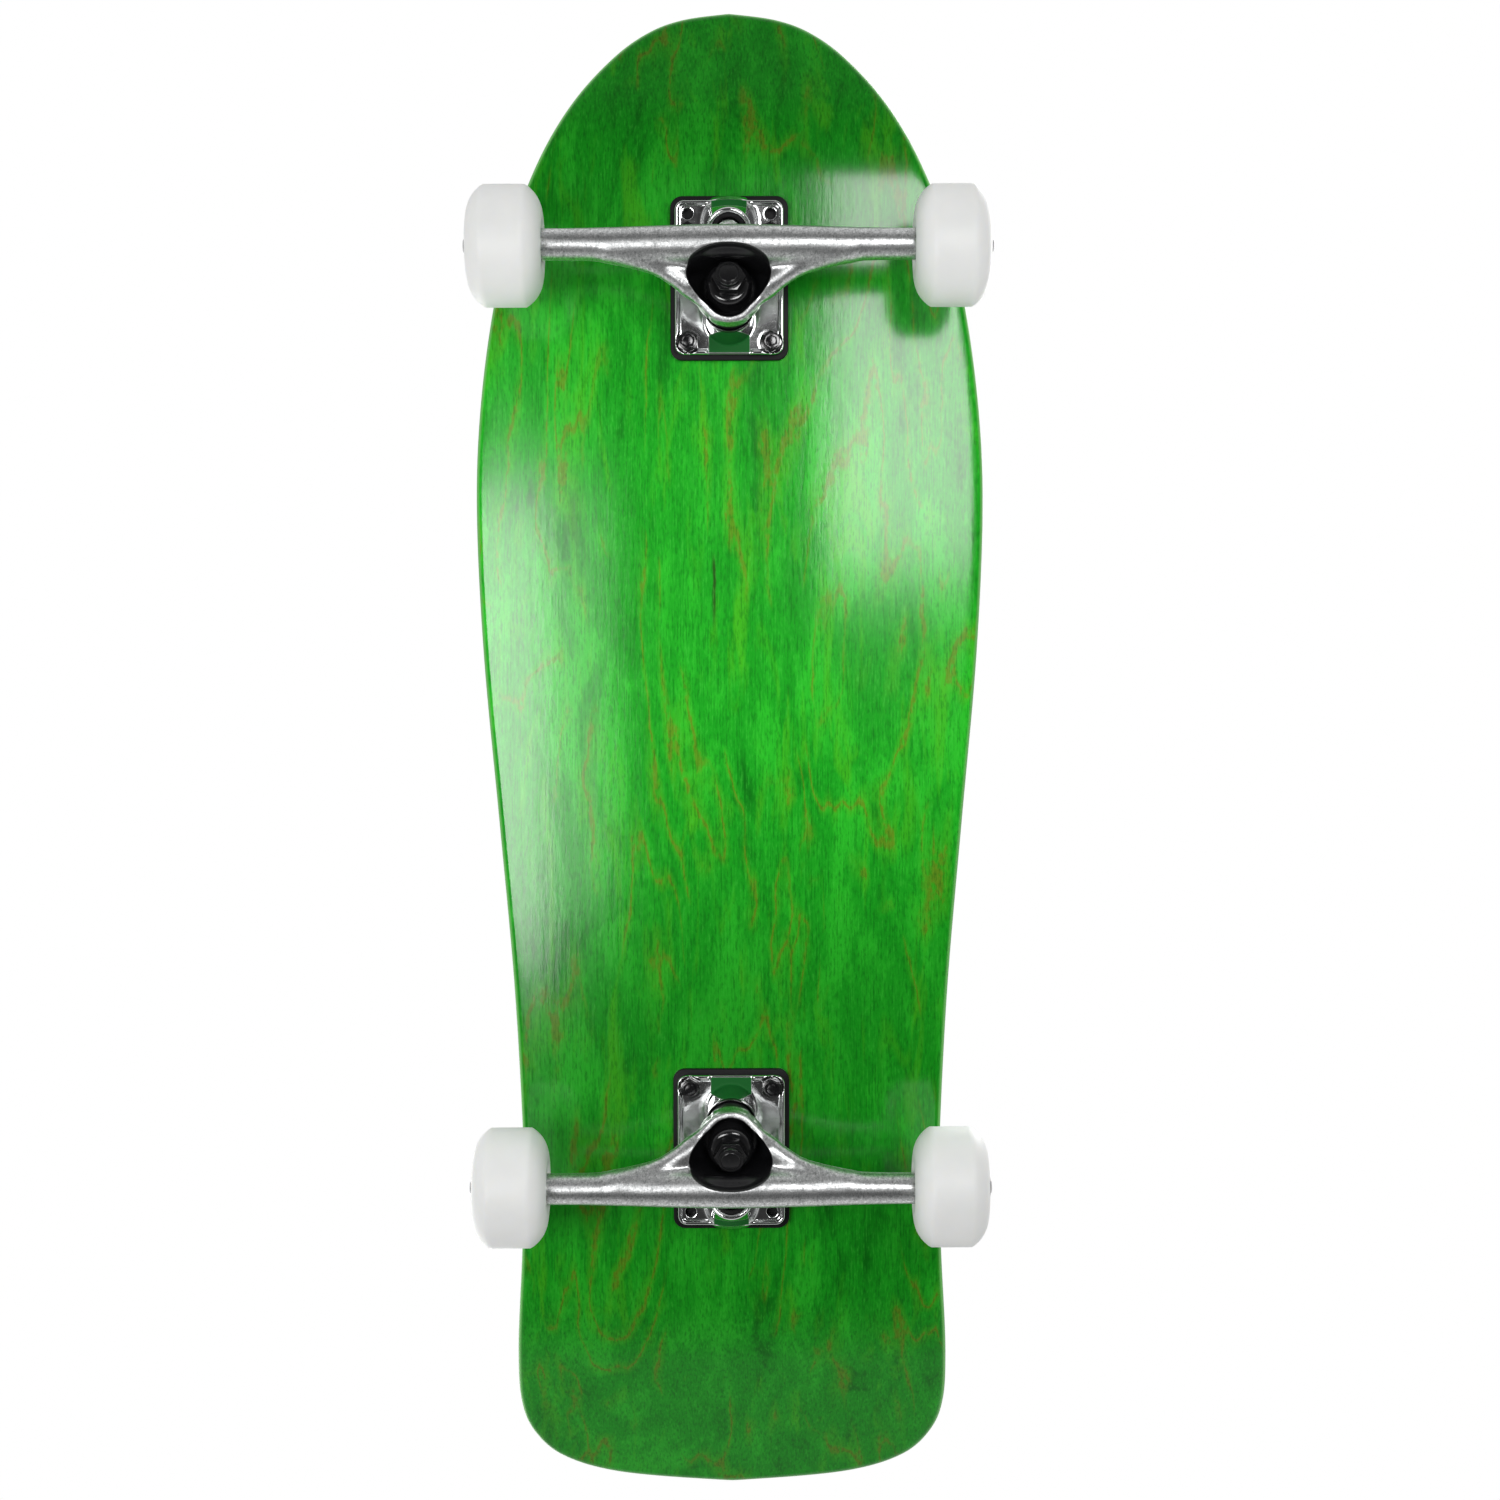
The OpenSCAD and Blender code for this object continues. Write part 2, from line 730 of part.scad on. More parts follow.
truck(1) riser();  // front_riser
truck(1) baseplate();  // front_baseplate
truck(1) pivot_cup();  // front_pivot_cup
truck(1) kingpin();  // front_kingpin
truck(1) cup_washer(seat_s, 1);  // front_board_washer
truck(1) board_bushing();  // front_board_bushing
truck(1) hanger();  // front_hanger
truck(1) road_bushing();  // front_road_bushing
truck(1) cup_washer(road_washer_s, -1);  // front_road_washer
truck(1) kingpin_nut();  // front_kingpin_nut
truck(1) axle();  // front_axle
truck(1) axle_nuts();  // front_axle_nuts
truck(1) speed_washers();  // front_speed_washers
truck(1) mount_bolts();  // front_mount_bolts
truck(1) mount_nuts();  // front_mount_nuts

truck(-1) riser();  // rear_riser
truck(-1) baseplate();  // rear_baseplate
truck(-1) pivot_cup();  // rear_pivot_cup
truck(-1) kingpin();  // rear_kingpin
truck(-1) cup_washer(seat_s, 1);  // rear_board_washer
truck(-1) board_bushing();  // rear_board_bushing
truck(-1) hanger();  // rear_hanger
truck(-1) road_bushing();  // rear_road_bushing
truck(-1) cup_washer(road_washer_s, -1);  // rear_road_washer
truck(-1) kingpin_nut();  // rear_kingpin_nut
truck(-1) axle();  // rear_axle
truck(-1) axle_nuts();  // rear_axle_nuts
truck(-1) speed_washers();  // rear_speed_washers
truck(-1) mount_bolts();  // rear_mount_bolts
truck(-1) mount_nuts();  // rear_mount_nuts

// at the nose the truck's frame is turned half round, so the rider's left is its right
truck(1) axle_end(-1) wheel();  // front_left_wheel
truck(1) axle_end(-1) bearing_outers();  // front_left_bearing_outers
truck(1) axle_end(-1) bearing_inners();  // front_left_bearing_inners
truck(1) axle_end(-1) bearing_balls();  // front_left_bearing_balls
truck(1) axle_end(-1) bearing_shields();  // front_left_bearing_shields
truck(1) axle_end(-1) spacer();  // front_left_spacer

truck(1) axle_end(1) wheel();  // front_right_wheel
truck(1) axle_end(1) bearing_outers();  // front_right_bearing_outers
truck(1) axle_end(1) bearing_inners();  // front_right_bearing_inners
truck(1) axle_end(1) bearing_balls();  // front_right_bearing_balls
truck(1) axle_end(1) bearing_shields();  // front_right_bearing_shields
truck(1) axle_end(1) spacer();  // front_right_spacer

truck(-1) axle_end(1) wheel();  // rear_left_wheel
truck(-1) axle_end(1) bearing_outers();  // rear_left_bearing_outers
truck(-1) axle_end(1) bearing_inners();  // rear_left_bearing_inners
truck(-1) axle_end(1) bearing_balls();  // rear_left_bearing_balls
truck(-1) axle_end(1) bearing_shields();  // rear_left_bearing_shields
truck(-1) axle_end(1) spacer();  // rear_left_spacer

truck(-1) axle_end(-1) wheel();  // rear_right_wheel
truck(-1) axle_end(-1) bearing_outers();  // rear_right_bearing_outers
truck(-1) axle_end(-1) bearing_inners();  // rear_right_bearing_inners
truck(-1) axle_end(-1) bearing_balls();  // rear_right_bearing_balls
truck(-1) axle_end(-1) bearing_shields();  // rear_right_bearing_shields
truck(-1) axle_end(-1) spacer();  // rear_right_spacer
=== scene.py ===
"""Looks of a wide maple skateboard with two cast trucks and four urethane wheels, built piece by piece."""

import math

import bmesh
import bpy
import numpy as np
from mathutils import Euler, Matrix, Vector


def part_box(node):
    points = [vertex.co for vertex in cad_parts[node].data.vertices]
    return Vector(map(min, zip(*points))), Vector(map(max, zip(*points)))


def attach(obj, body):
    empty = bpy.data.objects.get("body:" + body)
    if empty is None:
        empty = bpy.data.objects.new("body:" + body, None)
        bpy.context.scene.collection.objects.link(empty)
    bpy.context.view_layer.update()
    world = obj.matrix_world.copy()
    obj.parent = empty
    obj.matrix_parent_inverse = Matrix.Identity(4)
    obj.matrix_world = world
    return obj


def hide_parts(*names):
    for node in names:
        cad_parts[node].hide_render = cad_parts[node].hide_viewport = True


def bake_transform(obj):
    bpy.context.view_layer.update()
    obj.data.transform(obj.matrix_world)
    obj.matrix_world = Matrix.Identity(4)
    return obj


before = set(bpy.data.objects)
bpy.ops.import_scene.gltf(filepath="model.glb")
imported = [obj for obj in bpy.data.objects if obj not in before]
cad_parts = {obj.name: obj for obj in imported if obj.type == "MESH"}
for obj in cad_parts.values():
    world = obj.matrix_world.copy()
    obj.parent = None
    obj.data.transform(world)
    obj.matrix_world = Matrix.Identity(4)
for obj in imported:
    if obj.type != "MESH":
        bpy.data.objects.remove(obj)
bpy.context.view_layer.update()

# ---- Deck ----
# Seven plies of hard maple, glued and pressed in a mould that bends up the nose, the tail and the
# long edges. The outline is sawn after pressing and its edges are rounded over. The bottom ply is
# stained green, and the whole deck is sealed under clear gloss lacquer.

MM = 0.001
DECK_THICKNESS = 11.2
PLY_COUNT = 7
UNDERSIDE_HEIGHT = 85.2
# half outline from nose to tail, as distance along and half width, in millimetres
HALF_OUTLINE = [
    (382.0, 4.0), (378.9, 24.2), (372.3, 40.9), (359.3, 58.2), (336.5, 78.1), (305.7, 95.9),
    (266.5, 111.1), (225.3, 120.6), (175.5, 127.0), (124.5, 128.7), (53.9, 125.5), (-27.7, 118.3),
    (-110.3, 111.2), (-182.8, 107.4), (-217.0, 107.0), (-255.3, 108.2), (-305.6, 111.1),
    (-334.5, 110.6), (-353.0, 104.4), (-367.6, 89.4), (-377.0, 60.4), (-382.0, 10.4),
]
STEPS_PER_KNOT = 12
POINTS_ACROSS = 49
ROUNDING_STEPS = 6
LOW_EDGE_ROUND = 3.4
HIGH_EDGE_ROUND = 2.6


def curve_point(a, b, c, d, t):
    """Point at t on the smooth curve from b to c, where a and d are the knots beyond them."""
    return 0.5 * (2 * b + (c - a) * t + (2 * a - 5 * b + 4 * c - d) * t**2 + (3 * b - a - 3 * c + d) * t**3)


def outline_stations():
    """Points of the half outline and the outward direction at each, from the nose tip to the tail."""
    half = [np.array(p) for p in HALF_OUTLINE]
    flip = np.array((1.0, -1.0))
    knots = [half[1] * flip, half[0] * flip] + half + [half[-1] * flip, half[-2] * flip]
    points = []
    for i in range(1, len(knots) - 2):
        crosses_nose, crosses_tail = i == 1, i == len(knots) - 3
        first = STEPS_PER_KNOT // 2 if crosses_nose else 0
        last = STEPS_PER_KNOT // 2 + 1 if crosses_tail else STEPS_PER_KNOT
        for step in range(first, last):
            points.append(curve_point(*knots[i - 1 : i + 3], step / STEPS_PER_KNOT))
    points = np.array(points)
    along = np.gradient(points, axis=0)
    along[0], along[-1] = (0, 1), (0, -1)
    along /= np.linalg.norm(along, axis=1)[:, None]
    return points, np.column_stack((along[:, 1], -along[:, 0]))


def link(name, mesh):
    piece = bpy.data.objects.new(name, mesh)
    bpy.context.scene.collection.objects.link(piece)
    return piece


def sheet_blank(name, inset, low, high, low_round, high_round):
    """Flat sheet in the deck's outline, in millimetres, before pressing: z is depth above the underside."""
    points, outward = outline_stations()
    points = points - inset * outward
    turns = np.linspace(0, math.pi / 2, ROUNDING_STEPS)
    edge = [(low_round * (1 - math.sin(a)), low + low_round * (1 - math.cos(a))) for a in turns]
    edge += [(high_round * (1 - math.sin(a)), high - high_round * (1 - math.cos(a))) for a in turns[::-1]]
    shares = np.linspace(-1, 1, POINTS_ACROSS)
    rows = []
    for point, out in zip(points, outward):
        side = [(point - back * out, depth) for back, depth in edge]
        bottom, top = side[0], side[-1]
        row = [(bottom[0][0], share * bottom[0][1], bottom[1]) for share in shares]
        row += [(p[0], p[1], depth) for p, depth in side[1:-1]]
        row += [(top[0][0], -share * top[0][1], top[1]) for share in shares]
        row += [(p[0], -p[1], depth) for p, depth in side[-2:0:-1]]
        rows.append(row)
    count = len(rows[0])
    faces = []
    for i in range(len(rows) - 1):
        for k in range(count):
            after = (k + 1) % count
            faces.append((i * count + k, i * count + after, (i + 1) * count + after, (i + 1) * count + k))
    mesh = bpy.data.meshes.new(name)
    mesh.from_pydata([Vector(p) * MM for row in rows for p in row], [], faces)
    shell = bmesh.new()
    shell.from_mesh(mesh)
    bmesh.ops.remove_doubles(shell, verts=shell.verts, dist=0.02 * MM)
    bmesh.ops.recalc_face_normals(shell, faces=shell.faces)
    shell.to_mesh(mesh)
    shell.free()
    return link(name, mesh)


def add(tree, kind, inputs=(), **settings):
    """New node with its settings and inputs: a number fills a socket, and another socket is wired to it."""
    made = tree.nodes.new(kind)
    for key, value in settings.items():
        setattr(made, key, value)
    for key, value in inputs.items() if isinstance(inputs, dict) else enumerate(inputs):
        if isinstance(value, bpy.types.NodeSocket):
            tree.links.new(value, made.inputs[key])
        else:
            made.inputs[key].default_value = value
    return made


def calc(tree, operation, *values, clamp=False):
    return add(tree, "ShaderNodeMath", values, operation=operation, use_clamp=clamp).outputs[0]


def vector(tree, operation, *values):
    made = add(tree, "ShaderNodeVectorMath", operation=operation)
    slots = [3 if operation == "SCALE" and i == 1 else i for i in range(len(values))]
    for slot, value in zip(slots, values):
        if isinstance(value, bpy.types.NodeSocket):
            tree.links.new(value, made.inputs[slot])
        else:
            made.inputs[slot].default_value = value
    return made.outputs["Value" if operation in ("LENGTH", "DOT_PRODUCT") else "Vector"]


def split(tree, value):
    return add(tree, "ShaderNodeSeparateXYZ", [value]).outputs


def joined(tree, x, y, z):
    return add(tree, "ShaderNodeCombineXYZ", [x, y, z]).outputs[0]


def shape_tree(name, sizes):
    """Geometry tree with one named input per size, in millimetres or degrees, and the built-in geometry."""
    tree = bpy.data.node_groups.new(name, "GeometryNodeTree")
    tree.interface.new_socket("Geometry", in_out="INPUT", socket_type="NodeSocketGeometry")
    tree.interface.new_socket("Geometry", in_out="OUTPUT", socket_type="NodeSocketGeometry")
    for size, value in sizes.items():
        tree.interface.new_socket(size, in_out="INPUT", socket_type="NodeSocketFloat").default_value = value
    return tree, tree.nodes.new("NodeGroupInput").outputs


def end_tree(tree, geometry, material):
    """Realize Instances and Set Material, and out of the tree."""
    whole = add(tree, "GeometryNodeRealizeInstances", [geometry]).outputs[0]
    dressed = add(tree, "GeometryNodeSetMaterial", {"Geometry": whole, "Material": material}).outputs[0]
    tree.links.new(dressed, tree.nodes.new("NodeGroupOutput").inputs[0])


def shape_with(piece, tree, sizes):
    """Puts a geometry tree on a piece, with its named inputs set through their identifiers."""
    modifier = piece.modifiers.new(tree.name, "NODES")
    modifier.node_group = tree
    for item in tree.interface.items_tree:
        if item.in_out == "INPUT" and item.name in sizes:
            modifier[item.identifier] = float(sizes[item.name])
    return modifier


def settled(piece, smooth=True):
    """Turns a piece and its modifiers into one plain mesh."""
    graph = bpy.context.evaluated_depsgraph_get()
    mesh = bpy.data.meshes.new_from_object(
        piece.evaluated_get(graph), preserve_all_data_layers=True, depsgraph=graph
    )
    piece.modifiers.clear()
    piece.data = mesh
    if smooth:
        mesh.polygons.foreach_set("use_smooth", [True] * len(mesh.polygons))
    return piece


def kick(tree, distance, radius, angle):
    """Rise and slope of a kick at a distance past its start: a round bend, then a straight ramp."""
    into = calc(tree, "MAXIMUM", distance, 0.0)
    turned = calc(tree, "MINIMUM", calc(tree, "DIVIDE", into, radius), calc(tree, "SINE", angle))
    theta = calc(tree, "ARCSINE", turned)
    bend = calc(tree, "MULTIPLY", radius, calc(tree, "SUBTRACT", 1.0, calc(tree, "COSINE", theta)))
    past = calc(tree, "MAXIMUM", calc(tree, "MULTIPLY_ADD", calc(tree, "SINE", angle),
                                      calc(tree, "MULTIPLY", radius, -1.0), into), 0.0)
    slope = calc(tree, "TANGENT", theta)
    return calc(tree, "MULTIPLY_ADD", past, slope, bend), slope


PRESS_SIZES = {
    "Underside height": UNDERSIDE_HEIGHT, "Flat strip": 30.0, "Half width": 128.7, "Concave depth": 5.0,
    "Nose kick start": 290.0, "Nose bend radius": 185.0, "Nose angle": 15.5,
    "Tail kick start": 250.0, "Tail bend radius": 164.0, "Tail angle": 21.0,
}


def press(name, material):
    """The mould: lifts a flat blank onto the deck's surface, each point square to it at its own depth."""
    tree, size = shape_tree(name, PRESS_SIZES)
    flat = split(tree, vector(tree, "SCALE", add(tree, "GeometryNodeInputPosition").outputs[0], 1 / MM))
    x, y, depth = flat
    nose_rise, nose_slope = kick(
        tree, calc(tree, "SUBTRACT", x, size["Nose kick start"]), size["Nose bend radius"],
        calc(tree, "RADIANS", size["Nose angle"]))
    tail_rise, tail_slope = kick(
        tree, calc(tree, "SUBTRACT", calc(tree, "MULTIPLY", x, -1.0), size["Tail kick start"]),
        size["Tail bend radius"], calc(tree, "RADIANS", size["Tail angle"]))
    reach = calc(tree, "SUBTRACT", size["Half width"], size["Flat strip"])
    outside = calc(tree, "SUBTRACT", calc(tree, "ABSOLUTE", y), size["Flat strip"])
    over = calc(tree, "DIVIDE", calc(tree, "MAXIMUM", outside, 0.0), reach)
    lift = calc(tree, "MULTIPLY", calc(tree, "POWER", over, 2.0), size["Concave depth"])
    steepness = calc(tree, "DIVIDE", calc(tree, "MULTIPLY", size["Concave depth"], 2.0), reach)
    side_slope = calc(tree, "MULTIPLY", calc(tree, "MULTIPLY", over, steepness), calc(tree, "SIGN", y))
    along_slope = calc(tree, "SUBTRACT", nose_slope, tail_slope)
    height = calc(tree, "ADD", calc(tree, "ADD", nose_rise, tail_rise),
                  calc(tree, "ADD", lift, size["Underside height"]))
    square = vector(tree, "NORMALIZE", joined(
        tree, calc(tree, "MULTIPLY", along_slope, -1.0), calc(tree, "MULTIPLY", side_slope, -1.0), 1.0))
    pressed = vector(tree, "ADD", joined(tree, x, y, height), vector(tree, "SCALE", square, depth))
    kept = add(tree, "GeometryNodeStoreNamedAttribute",
               {"Geometry": size["Geometry"], "Name": "depth", "Value": depth},
               data_type="FLOAT", domain="POINT").outputs[0]
    moved = add(tree, "GeometryNodeSetPosition",
                {"Geometry": kept, "Position": vector(tree, "SCALE", pressed, MM)}).outputs[0]
    end_tree(tree, moved, material)
    return tree


def finish_material(name, **values):
    """New material with a Principled shader, whose plain values sit on its own sockets."""
    material = bpy.data.materials.new(name)
    material.use_nodes = True
    shader = material.node_tree.nodes["Principled BSDF"]
    for key, value in values.items():
        shader.inputs[key.replace("_", " ")].default_value = value
    return material, material.node_tree, shader


def noise(tree, place, scale, detail=3.0, roughness=0.55, distortion=0.0):
    made = add(tree, "ShaderNodeTexNoise", {"Vector": place, "Scale": scale, "Detail": detail,
                                           "Roughness": roughness, "Distortion": distortion})
    return made.outputs[0]


def stretched(tree, place, x, y, z, shift=(0.0, 0.0, 0.0)):
    return add(tree, "ShaderNodeMapping", {"Vector": place, "Location": shift, "Scale": (x, y, z)}).outputs[0]


def step_up(tree, value, low, high):
    """0 below low, 1 above high and smooth between; low above high turns it round."""
    made = add(tree, "ShaderNodeMapRange", {"Value": value, "From Min": low, "From Max": high},
               interpolation_type="SMOOTHSTEP")
    return made.outputs[0]


def tint(tree, factor, a, b):
    """Colour a where the factor is 0 and colour b where it is 1."""
    made = tree.nodes.new("ShaderNodeMix")
    made.data_type = "RGBA"
    for slot, value in ((0, factor), (6, a), (7, b)):
        if isinstance(value, bpy.types.NodeSocket):
            tree.links.new(value, made.inputs[slot])
        else:
            made.inputs[slot].default_value = value
    return made.outputs[2]


def bump(tree, height, distance, strength, under=None):
    inputs = {"Height": height, "Distance": distance, "Strength": strength}
    if under is not None:
        inputs["Normal"] = under
    return add(tree, "ShaderNodeBump", inputs).outputs[0]


def object_place(tree):
    return add(tree, "ShaderNodeTexCoord").outputs["Object"]


STAIN_DEEP = (0.002, 0.16, 0.005, 1)
STAIN_MIDDLE = (0.009, 0.36, 0.012, 1)
STAIN_PALE = (0.022, 0.50, 0.020, 1)
STAIN_WARM = (0.070, 0.50, 0.010, 1)
GROWTH_HALO = (0.085, 0.47, 0.012, 1)
GROWTH_LINE = (0.17, 0.20, 0.010, 1)
MINERAL_BROWN = (0.022, 0.045, 0.008, 1)
PORE_DARK = (0.003, 0.13, 0.006, 1)
# painted sheen along the maple's fibres
PAINTED_FIBRE_SHEEN = (0.06, 0.62, 0.05, 1)
PLY_PALE = (0.10, 0.50, 0.06, 1)
PLY_DARK = (0.045, 0.34, 0.03, 1)
PLY_GRAIN = (0.19, 0.52, 0.13, 1)
GLUE_LINE = (0.01, 0.12, 0.01, 1)


def stained_maple():
    """Green stain soaked unevenly into flat-sawn maple, with its brown growth lines showing through."""
    material, tree, shader = finish_material("stained maple")
    place = object_place(tree)
    x, y, z = split(tree, place)
    soak = noise(tree, stretched(tree, place, 7, 20, 20), 1.0, 4.0, 0.6, 0.8)
    cloud = noise(tree, stretched(tree, place, 16, 42, 42, (3, 0, 0)), 1.0, 4.0, 0.68, 1.2)
    streak = noise(tree, stretched(tree, place, 8, 170, 170), 1.0, 4.0, 0.65)
    fibre = noise(tree, stretched(tree, place, 60, 1300, 1300), 1.0, 3.0, 0.6)
    fleck = noise(tree, stretched(tree, place, 260, 900, 900), 1.0, 2.0, 0.6)
    stain = calc(tree, "MULTIPLY_ADD", cloud, 0.5, calc(tree, "MULTIPLY", soak, 0.5))
    stain = calc(tree, "MULTIPLY_ADD", calc(tree, "SUBTRACT", streak, 0.5), 0.20, stain)
    green = tint(tree, step_up(tree, stain, 0.30, 0.47), STAIN_DEEP, STAIN_MIDDLE)
    green = tint(tree, step_up(tree, stain, 0.47, 0.60), green, STAIN_PALE)
    warm = noise(tree, stretched(tree, place, 12, 60, 60, (1, 5, 0)), 1.0, 3.0, 0.6, 0.8)
    green = tint(tree, calc(tree, "MULTIPLY", step_up(tree, warm, 0.54, 0.72), 0.65), green, STAIN_WARM)
    # growth lines: level lines of a slow field, jagged where they turn, and only here and there
    field = noise(tree, stretched(tree, place, 3.6, 15, 15, (0.4, 0.2, 0)), 1.0, 3.0, 0.5, 0.4)
    jag = noise(tree, stretched(tree, place, 70, 150, 150), 1.0, 3.0, 0.65)
    level = calc(tree, "MULTIPLY_ADD", jag, 0.40, calc(tree, "MULTIPLY", field, 11.0))
    ridge = calc(tree, "ABSOLUTE", calc(tree, "SUBTRACT", calc(tree, "FRACT", level), 0.5))
    line = step_up(tree, ridge, 0.085, 0.015)
    halo = step_up(tree, ridge, 0.30, 0.0)
    where = step_up(tree, noise(tree, stretched(tree, place, 9, 20, 20, (7, 2, 0)), 1.0, 3.0), 0.45, 0.56)
    broken = step_up(tree, noise(tree, stretched(tree, place, 120, 260, 260), 1.0, 2.0), 0.34, 0.50)
    green = tint(tree, calc(tree, "MULTIPLY", halo, calc(tree, "MULTIPLY", where, 0.45)), green, GROWTH_HALO)
    green = tint(tree, calc(tree, "MULTIPLY", line, calc(tree, "MULTIPLY", where, calc(
        tree, "MULTIPLY", broken, 0.62))), green, GROWTH_LINE)
    # one dark mineral streak near the front truck
    away = calc(tree, "ABSOLUTE", calc(tree, "SUBTRACT", y, calc(
        tree, "MULTIPLY_ADD", noise(tree, stretched(tree, place, 60, 0, 0), 1.0, 2.0), 0.002, -0.0090)))
    within = calc(tree, "MULTIPLY", step_up(tree, x, 0.063, 0.085), step_up(tree, x, 0.110, 0.100))
    mineral = calc(tree, "MULTIPLY", step_up(tree, away, 0.0012, 0.0003), within)
    green = tint(tree, calc(tree, "MULTIPLY", mineral, 0.85), green, MINERAL_BROWN)
    grain = calc(tree, "MULTIPLY_ADD", fleck, 0.5, calc(tree, "MULTIPLY", fibre, 0.5))
    green = tint(tree, calc(tree, "MULTIPLY", step_up(tree, grain, 0.52, 0.36), 0.50), green, PORE_DARK)
    # painted sheen: paler green streaks along the fibres, where the maple catches the light
    green = tint(tree, calc(tree, "MULTIPLY", step_up(tree, grain, 0.52, 0.68), 0.35), green, PAINTED_FIBRE_SHEEN)
    # painted shade: darker at the bent nose and tail, which turn away from the lights below; lighter in the
    # middle
    ends = calc(tree, "MULTIPLY_ADD", step_up(tree, x, 0.02, -0.16), -0.58, 1.30)
    ends = calc(tree, "MULTIPLY_ADD", step_up(tree, x, 0.14, 0.36), -0.78, ends)
    green = vector(tree, "SCALE", green, ends)
    # the sawn edge shows the plies, paler where the rounding cut into them
    depth = add(tree, "ShaderNodeAttribute", attribute_name="depth").outputs["Fac"]
    ply = calc(tree, "DIVIDE", depth, DECK_THICKNESS / PLY_COUNT)
    off_middle = calc(tree, "ABSOLUTE", calc(tree, "SUBTRACT", calc(tree, "FRACT", ply), 0.5))
    seam = step_up(tree, off_middle, 0.42, 0.5)
    crossed = calc(tree, "MODULO", calc(tree, "FLOOR", ply), 2.0)
    edge_grain = noise(tree, stretched(tree, place, 300, 300, 900), 1.0, 3.0)
    edge = tint(tree, crossed, PLY_PALE, PLY_DARK)
    edge = tint(tree, calc(tree, "MULTIPLY", edge_grain, 0.5), edge, PLY_GRAIN)
    edge = tint(tree, calc(tree, "MULTIPLY", seam, 0.6), edge, GLUE_LINE)
    sawn = calc(tree, "MULTIPLY", step_up(tree, depth, 0.15, 0.9),
                step_up(tree, depth, DECK_THICKNESS - 0.15, DECK_THICKNESS - 0.6))
    tree.links.new(tint(tree, sawn, green, edge), shader.inputs["Base Color"])
    rough = calc(tree, "MULTIPLY_ADD", fibre, 0.08, 0.10)
    tree.links.new(calc(tree, "MULTIPLY_ADD", sawn, 0.25, rough), shader.inputs["Roughness"])
    orange_peel = noise(tree, stretched(tree, place, 70, 260, 260), 1.0, 3.0)
    relief = calc(tree, "ADD", calc(tree, "MULTIPLY", grain, 0.25), calc(tree, "MULTIPLY", streak, 0.6))
    relief = calc(tree, "MULTIPLY_ADD", orange_peel, 0.8, relief)
    tree.links.new(bump(tree, relief, 0.00010, 0.5), shader.inputs["Normal"])
    return material


maple = stained_maple()
deck = sheet_blank("deck_visual", 0.0, 0.0, DECK_THICKNESS, LOW_EDGE_ROUND, HIGH_EDGE_ROUND)

ENDS = {"front": -1, "rear": 1}
axle_middle = {end: (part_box(end + "_axle")[0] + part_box(end + "_axle")[1]) / 2 for end in ENDS}
BOLT_SPACING = 41.275
BOLT_U = (40.0, -13.975)
BOLT_HOLE_R = 2.75
HEAD_DEPTH = 3
PAST_UNDERSIDE = 3
PAST_TOP = 8


def truck_place(end):
    """From a truck's own frame, with x towards the middle of the board, to the board's frame."""
    turned = Matrix.Rotation(math.pi if end == "front" else 0.0, 4, "Z")
    return Matrix.Translation((axle_middle[end].x, 0, 0)) @ turned


def bolt_places(end, rows):
    """Where the truck's bolts stand, in the board's frame, at z = 0."""
    spots = [Vector((u, side * BOLT_SPACING / 2, 0)) * MM for u in rows for side in (-1, 1)]
    return [truck_place(end) @ spot for spot in spots]


def turned_solid(name, profile, segments=48):
    """Closed solid of revolution about Z from a profile of (radius, height) in millimetres."""
    shell = bmesh.new()
    rings = []
    for radius, height in profile:
        if radius < 1e-6:
            rings.append([shell.verts.new((0, 0, height * MM))])
            continue
        angles = [2 * math.pi * k / segments for k in range(segments)]
        rings.append([shell.verts.new((radius * MM * math.cos(a), radius * MM * math.sin(a), height * MM))
                      for a in angles])
    closed = list(zip(rings, rings[1:] + rings[:1]))
    for low, high in closed:
        if len(low) == 1 and len(high) == 1:
            continue
        for k in range(segments):
            after = (k + 1) % segments
            if len(low) == 1:
                shell.faces.new((low[0], high[k], high[after]))
            elif len(high) == 1:
                shell.faces.new((low[after], low[k], high[0]))
            else:
                shell.faces.new((low[k], low[after], high[after], high[k]))
    bmesh.ops.recalc_face_normals(shell, faces=shell.faces)
    mesh = bpy.data.meshes.new(name)
    shell.to_mesh(mesh)
    shell.free()
    return link(name, mesh)


def merged(name, pieces):
    """One object from several, with every place applied."""
    shell = bmesh.new()
    for piece in pieces:
        piece.data.transform(piece.matrix_world)
        shell.from_mesh(piece.data)
        bpy.data.objects.remove(piece)
    mesh = bpy.data.meshes.new(name)
    shell.to_mesh(mesh)
    shell.free()
    return link(name, mesh)


def bolt_cutter(name, z_top, top_radius):
    """Eight countersunk bores in one object: plain below, and open at the top to the given radius."""
    bores = []
    low, high = UNDERSIDE_HEIGHT - PAST_UNDERSIDE, z_top + PAST_TOP
    profile = [(0, low), (BOLT_HOLE_R, low), (BOLT_HOLE_R, z_top - HEAD_DEPTH), (top_radius, z_top),
               (top_radius, high), (0, high)]
    for end in ENDS:
        for spot in bolt_places(end, BOLT_U):
            bore = turned_solid("bore", profile, 40)
            bore.matrix_world = Matrix.Translation(spot)
            bores.append(bore)
    bpy.context.view_layer.update()
    return merged(name, bores)


def drill(piece, cutter):
    cut = piece.modifiers.new("bolt holes", "BOOLEAN")
    cut.object, cut.operation, cut.solver = cutter, "DIFFERENCE", "EXACT"


def stand_in(piece, node, body):
    """Hides the CAD part that a finished piece stands for, and hangs the piece on the body that carries it.
    """
    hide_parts(node)
    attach(piece, body)


shape_with(deck, press("deck press", maple), PRESS_SIZES)
deck_cutter = bolt_cutter("deck_bores", UNDERSIDE_HEIGHT + DECK_THICKNESS, 5.1)
drill(deck, deck_cutter)
settled(deck)
bpy.data.objects.remove(deck_cutter)
stand_in(deck, "deck", "board")

